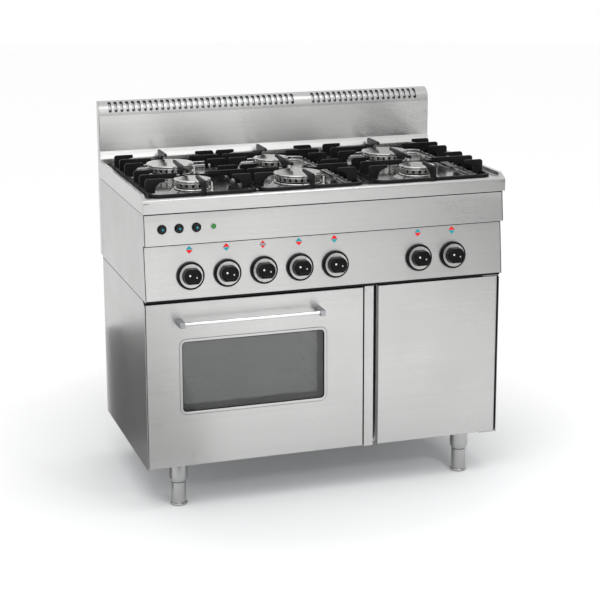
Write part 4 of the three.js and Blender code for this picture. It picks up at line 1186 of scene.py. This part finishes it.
def gas_manifold():
    """Supply rail with a tap for each knob, and the pipe that leads to the inlet at the back."""
    rail_y, rail_z = 44, KNOB_Z
    inlet_x, inlet_z, turn_y = 462, 540, 500
    rail = wire([(middle(KNOBS[0]).x - 25, rail_y, rail_z), (inlet_x - 20, rail_y, rail_z)], 11, 20)
    pipe = wire(bent([(inlet_x - 24, rail_y, rail_z), (inlet_x, rail_y, rail_z), (inlet_x, turn_y, rail_z),
                      (inlet_x, turn_y, inlet_z), (inlet_x, BACK_Y - 4, inlet_z)], 18), 9, 20)
    facing_back = Matrix.Rotation(-math.pi / 2, 3, "X")
    ridges = []
    for k in range(8):
        t = 6 + k * 1.8
        ridges += [(14, t), (13, t + 0.9)]
    stub_length = 22.4
    stub = turned([(0, 0), (13.6, 0), (14, 0.6), *ridges, (13, 21.5), (12, stub_length), (9.5, stub_length),
                   (9.5, 12), (0, 12)], 36)
    stub = moved(stub, at=(inlet_x, BACK_Y - 1 - stub_length - 1, inlet_z), turn=facing_back)
    shells = [rail, pipe, stub]
    for node in KNOBS:
        x = middle(node).x
        body = block(-13, 13, -15, 15, -43, -21, 2)
        bonnet = turned([(0, -22), (10, -22), (10, -14), (6, -12), (6, -9), (0, -9)], 24)
        stem = turned([(0, -12), (4, -12), (4, 12), (0, 12)], 20)
        shells += [on_face(shell, PANEL_LOW, x, KNOB_Z) for shell in (body, bonnet, stem)]
    make("gas_manifold_pipes", "cabinet", "manifold_metal", shells, stands_for=["gas_manifold"])


def build_range():
    worktop()
    for zone in ZONES:
        grate(zone)
        for row in ROWS:
            place = f"{row}_{zone}"
            burner(place)
            burner_cap(place)
            ignition(place)
    for node in KNOBS:
        knob(node)
    burner_marks()
    igniters_and_lamp()
    cabinet_panels()
    gap_shadow_strips()
    legs_and_feet()
    flue_grille()
    backguard()
    flue_housing()
    screws()
    oven_door()
    oven_handle()
    oven_rack()
    cupboard_door()
    gas_manifold()


# ---- camera, floor and light --------------------------------------------------------------------
def look(obj, at, direction, distance, roll=0.0):
    """Puts a camera or a lamp at a distance from a point, facing it."""
    obj.location = at + direction * distance
    facing = (-direction).to_track_quat("-Z", "Y")
    obj.rotation_mode = "QUATERNION"
    obj.rotation_quaternion = facing @ Matrix.Rotation(roll, 3, "Z").to_quaternion()


def bearing(azimuth, elevation):
    """The direction from the object to a place. Azimuth 0 is straight in front, positive to its right."""
    a, e = math.radians(azimuth), math.radians(elevation)
    return Vector((math.sin(a) * math.cos(e), -math.cos(a) * math.cos(e), math.sin(e)))


CAMERA_LENS = 97.9
CAMERA_SHIFT = -0.1
CAMERA_BEARING = (-18.07, 12.69)
CAMERA_DISTANCE = 4.601
CAMERA_ROLL = -0.0033
CAMERA_AIM = Vector((0.0148, 0.0265, 0.132))


def photo_camera():
    """A long lens from the front left, a little above the worktop."""
    camera = bpy.data.objects.new("camera", bpy.data.cameras.new("camera"))
    bpy.context.scene.collection.objects.link(camera)
    camera.data.lens = CAMERA_LENS
    camera.data.sensor_width = 36
    camera.data.shift_y = CAMERA_SHIFT
    camera.data.clip_end = 200
    look(camera, CENTRE + CAMERA_AIM, bearing(*CAMERA_BEARING), CAMERA_DISTANCE, roll=CAMERA_ROLL)
    bpy.context.scene.camera = camera


def softbox(name, azimuth, elevation, distance, size, power, aim=(0, 0, 0.6)):
    lamp = bpy.data.objects.new(name, bpy.data.lights.new(name, "AREA"))
    lamp.data.shape = "RECTANGLE"
    lamp.data.size, lamp.data.size_y = size
    lamp.data.energy = power
    bpy.context.scene.collection.objects.link(lamp)
    look(lamp, Vector(aim), bearing(azimuth, elevation), distance)
    return lamp


ROOM_LIGHT = 1.05
FRONT_GLOW = 0.9
RIGHT_SHADE = 0.7


def sky():
    """A white room. The metal sees it brighter straight in front and dimmer on the right."""
    world = bpy.data.worlds.new("studio")
    bpy.context.scene.world = world
    world.use_nodes = True
    tree = world.node_tree
    background = tree.nodes["Background"]
    background.inputs["Color"].default_value = (1, 1, 1, 1)

    def node(kind, **settings):
        made = tree.nodes.new("ShaderNode" + kind)
        for name, value in settings.items():
            setattr(made, name, value)
        return made

    direction = node("TexCoord").outputs["Generated"]

    def glow(toward, start, end, amount):
        """Light that grows as the direction nears a bearing."""
        nearness = node("VectorMath", operation="DOT_PRODUCT")
        tree.links.new(direction, nearness.inputs[0])
        nearness.inputs[1].default_value = toward
        scale = node("MapRange", interpolation_type="SMOOTHSTEP")
        for name, value in (("From Min", start), ("From Max", end), ("To Min", 0), ("To Max", amount)):
            scale.inputs[name].default_value = value
        tree.links.new(nearness.outputs["Value"], scale.inputs["Value"])
        return scale.outputs["Result"]

    total = None
    for part in (glow((0, 0, 1), -3, -2, ROOM_LIGHT), glow(bearing(0, 4), 0.885, 0.985, FRONT_GLOW),
                 glow(bearing(60, 0), 0.6, 0.88, -RIGHT_SHADE)):
        if total is None:
            total = part
            continue
        add = node("Math", operation="ADD")
        tree.links.new(total, add.inputs[0])
        tree.links.new(part, add.inputs[1])
        total = add.outputs[0]
    seen = node("LightPath").outputs["Is Camera Ray"]
    choice = node("Mix", data_type="FLOAT")
    tree.links.new(seen, choice.inputs["Factor"])
    tree.links.new(total, choice.inputs["A"])
    choice.inputs["B"].default_value = 1.0
    tree.links.new(choice.outputs["Result"], background.inputs["Strength"])


def shade_card(name, outline, tone):
    """A grey card that only the metal's gloss sees."""
    mesh = bpy.data.meshes.new(name)
    mesh.from_pydata(outline, [], [tuple(range(len(outline)))])
    card = bpy.data.objects.new(name, mesh)
    bpy.context.scene.collection.objects.link(card)
    mesh.materials.append(moulded(name + "_cloth", (tone, tone, tone), 0.9, specular=0))
    card.visible_camera = card.visible_diffuse = card.visible_shadow = card.visible_transmission = False


CARD_Z = 0.002
CARD_OUT, CARD_IN = -1.4, -0.52
CARD_BEHIND_Y, CARD_BEHIND_TOP = 0.32, 0.36
FLOOR_RADIUS = 12
# How far the floor's painted shadow spreads round the range.
FLOOR_SHADOW_SPREAD = 1.4
FLOOR_PALE = (0.97, 0.97, 0.97)
# The colour of the floor's painted shadow round the range.
FLOOR_PAINTED_SHADOW = (0.8, 0.805, 0.81)


def flat_card(x_near, x_far, y_near, y_far):
    """A card on the floor between two Y values. Each edge has its own pair of X values."""
    return [(x_near[0], y_near, CARD_Z), (x_near[1], y_near, CARD_Z),
            (x_far[1], y_far, CARD_Z), (x_far[0], y_far, CARD_Z)]


def shade_cards():
    """Cards that give the left side, the oven door's left half and the upstand's right end something dark."""
    shade_card("shade_behind", [(CARD_OUT, CARD_BEHIND_Y, 0), (CARD_IN, CARD_BEHIND_Y, 0),
                                (CARD_IN, CARD_BEHIND_Y, CARD_BEHIND_TOP),
                                (CARD_OUT, CARD_BEHIND_Y, CARD_BEHIND_TOP)], 0.16)
    side = (CARD_OUT, CARD_IN)
    shade_card("shade_beside", flat_card(side, side, -0.2, CARD_BEHIND_Y), 0.3)
    shade_card("shade_front", flat_card((-1.3, -0.25), (-1.3, 0.0), -0.5, -2.2), 0.35)
    far_outline = [(1.55, -2.4), (3.8, -2.0), (4.6, -6.4), (1.9, -6.4)]
    shade_card("shade_far", [(x, y, CARD_Z) for x, y in far_outline], 0.02)


def floor_paint_with_painted_shadow():
    """Pale matt paint with a painted shadow: its colour darkens round the range."""
    paint = Finish("floor_paint_with_painted_shadow", metallic=0, roughness=0.9, specular_ior_level=0.0)
    spread = paint.node("Mapping")
    spread.inputs["Scale"].default_value = (1 / FLOOR_SHADOW_SPREAD, 1 / FLOOR_SHADOW_SPREAD, 1)
    paint.link(paint.node("TexCoord").outputs["Object"], spread.inputs["Vector"])
    patch = paint.node("TexGradient", gradient_type="SPHERICAL")
    paint.link(spread.outputs["Vector"], patch.inputs["Vector"])
    nearness = paint.ramp(patch.outputs["Fac"], 0, 1, 0.15, 0.6)
    # Painted shadow: the floor's colour darkens towards the range.
    paint.set("Base Color", paint.mix(nearness, FLOOR_PALE, FLOOR_PAINTED_SHADOW))
    return paint.material


def studio():
    """Soft light from the left and from above, two washes on the floor in front, and a pale floor with a
    painted shadow round the range.
    """
    sky()
    softbox("key", -35, 50, 3.0, (1.8, 1.4), 18)
    softbox("top", 30, 65, 2.6, (1.0, 0.6), 8)
    floor_wash = softbox("floor_wash", 5, 60, 1.6, (0.3, 0.3), 8, aim=(0.48, -1.2, 0))
    far_wash = softbox("far_wash", 5, 75, 1.8, (0.5, 0.5), 22, aim=(0.5, -3.9, 0))
    floor_wash.visible_glossy = far_wash.visible_glossy = False
    shade_cards()
    mesh = bpy.data.meshes.new("floor")
    ring = circle(0, 0, FLOOR_RADIUS, 96)
    mesh.from_pydata([(x, y, 0) for x, y in ring], [], [tuple(range(len(ring)))])
    floor = bpy.data.objects.new("floor", mesh)
    bpy.context.scene.collection.objects.link(floor)
    mesh.materials.append(floor_paint_with_painted_shadow())
    bpy.context.scene.view_settings.view_transform = "Standard"


build_range()
photo_camera()
studio()
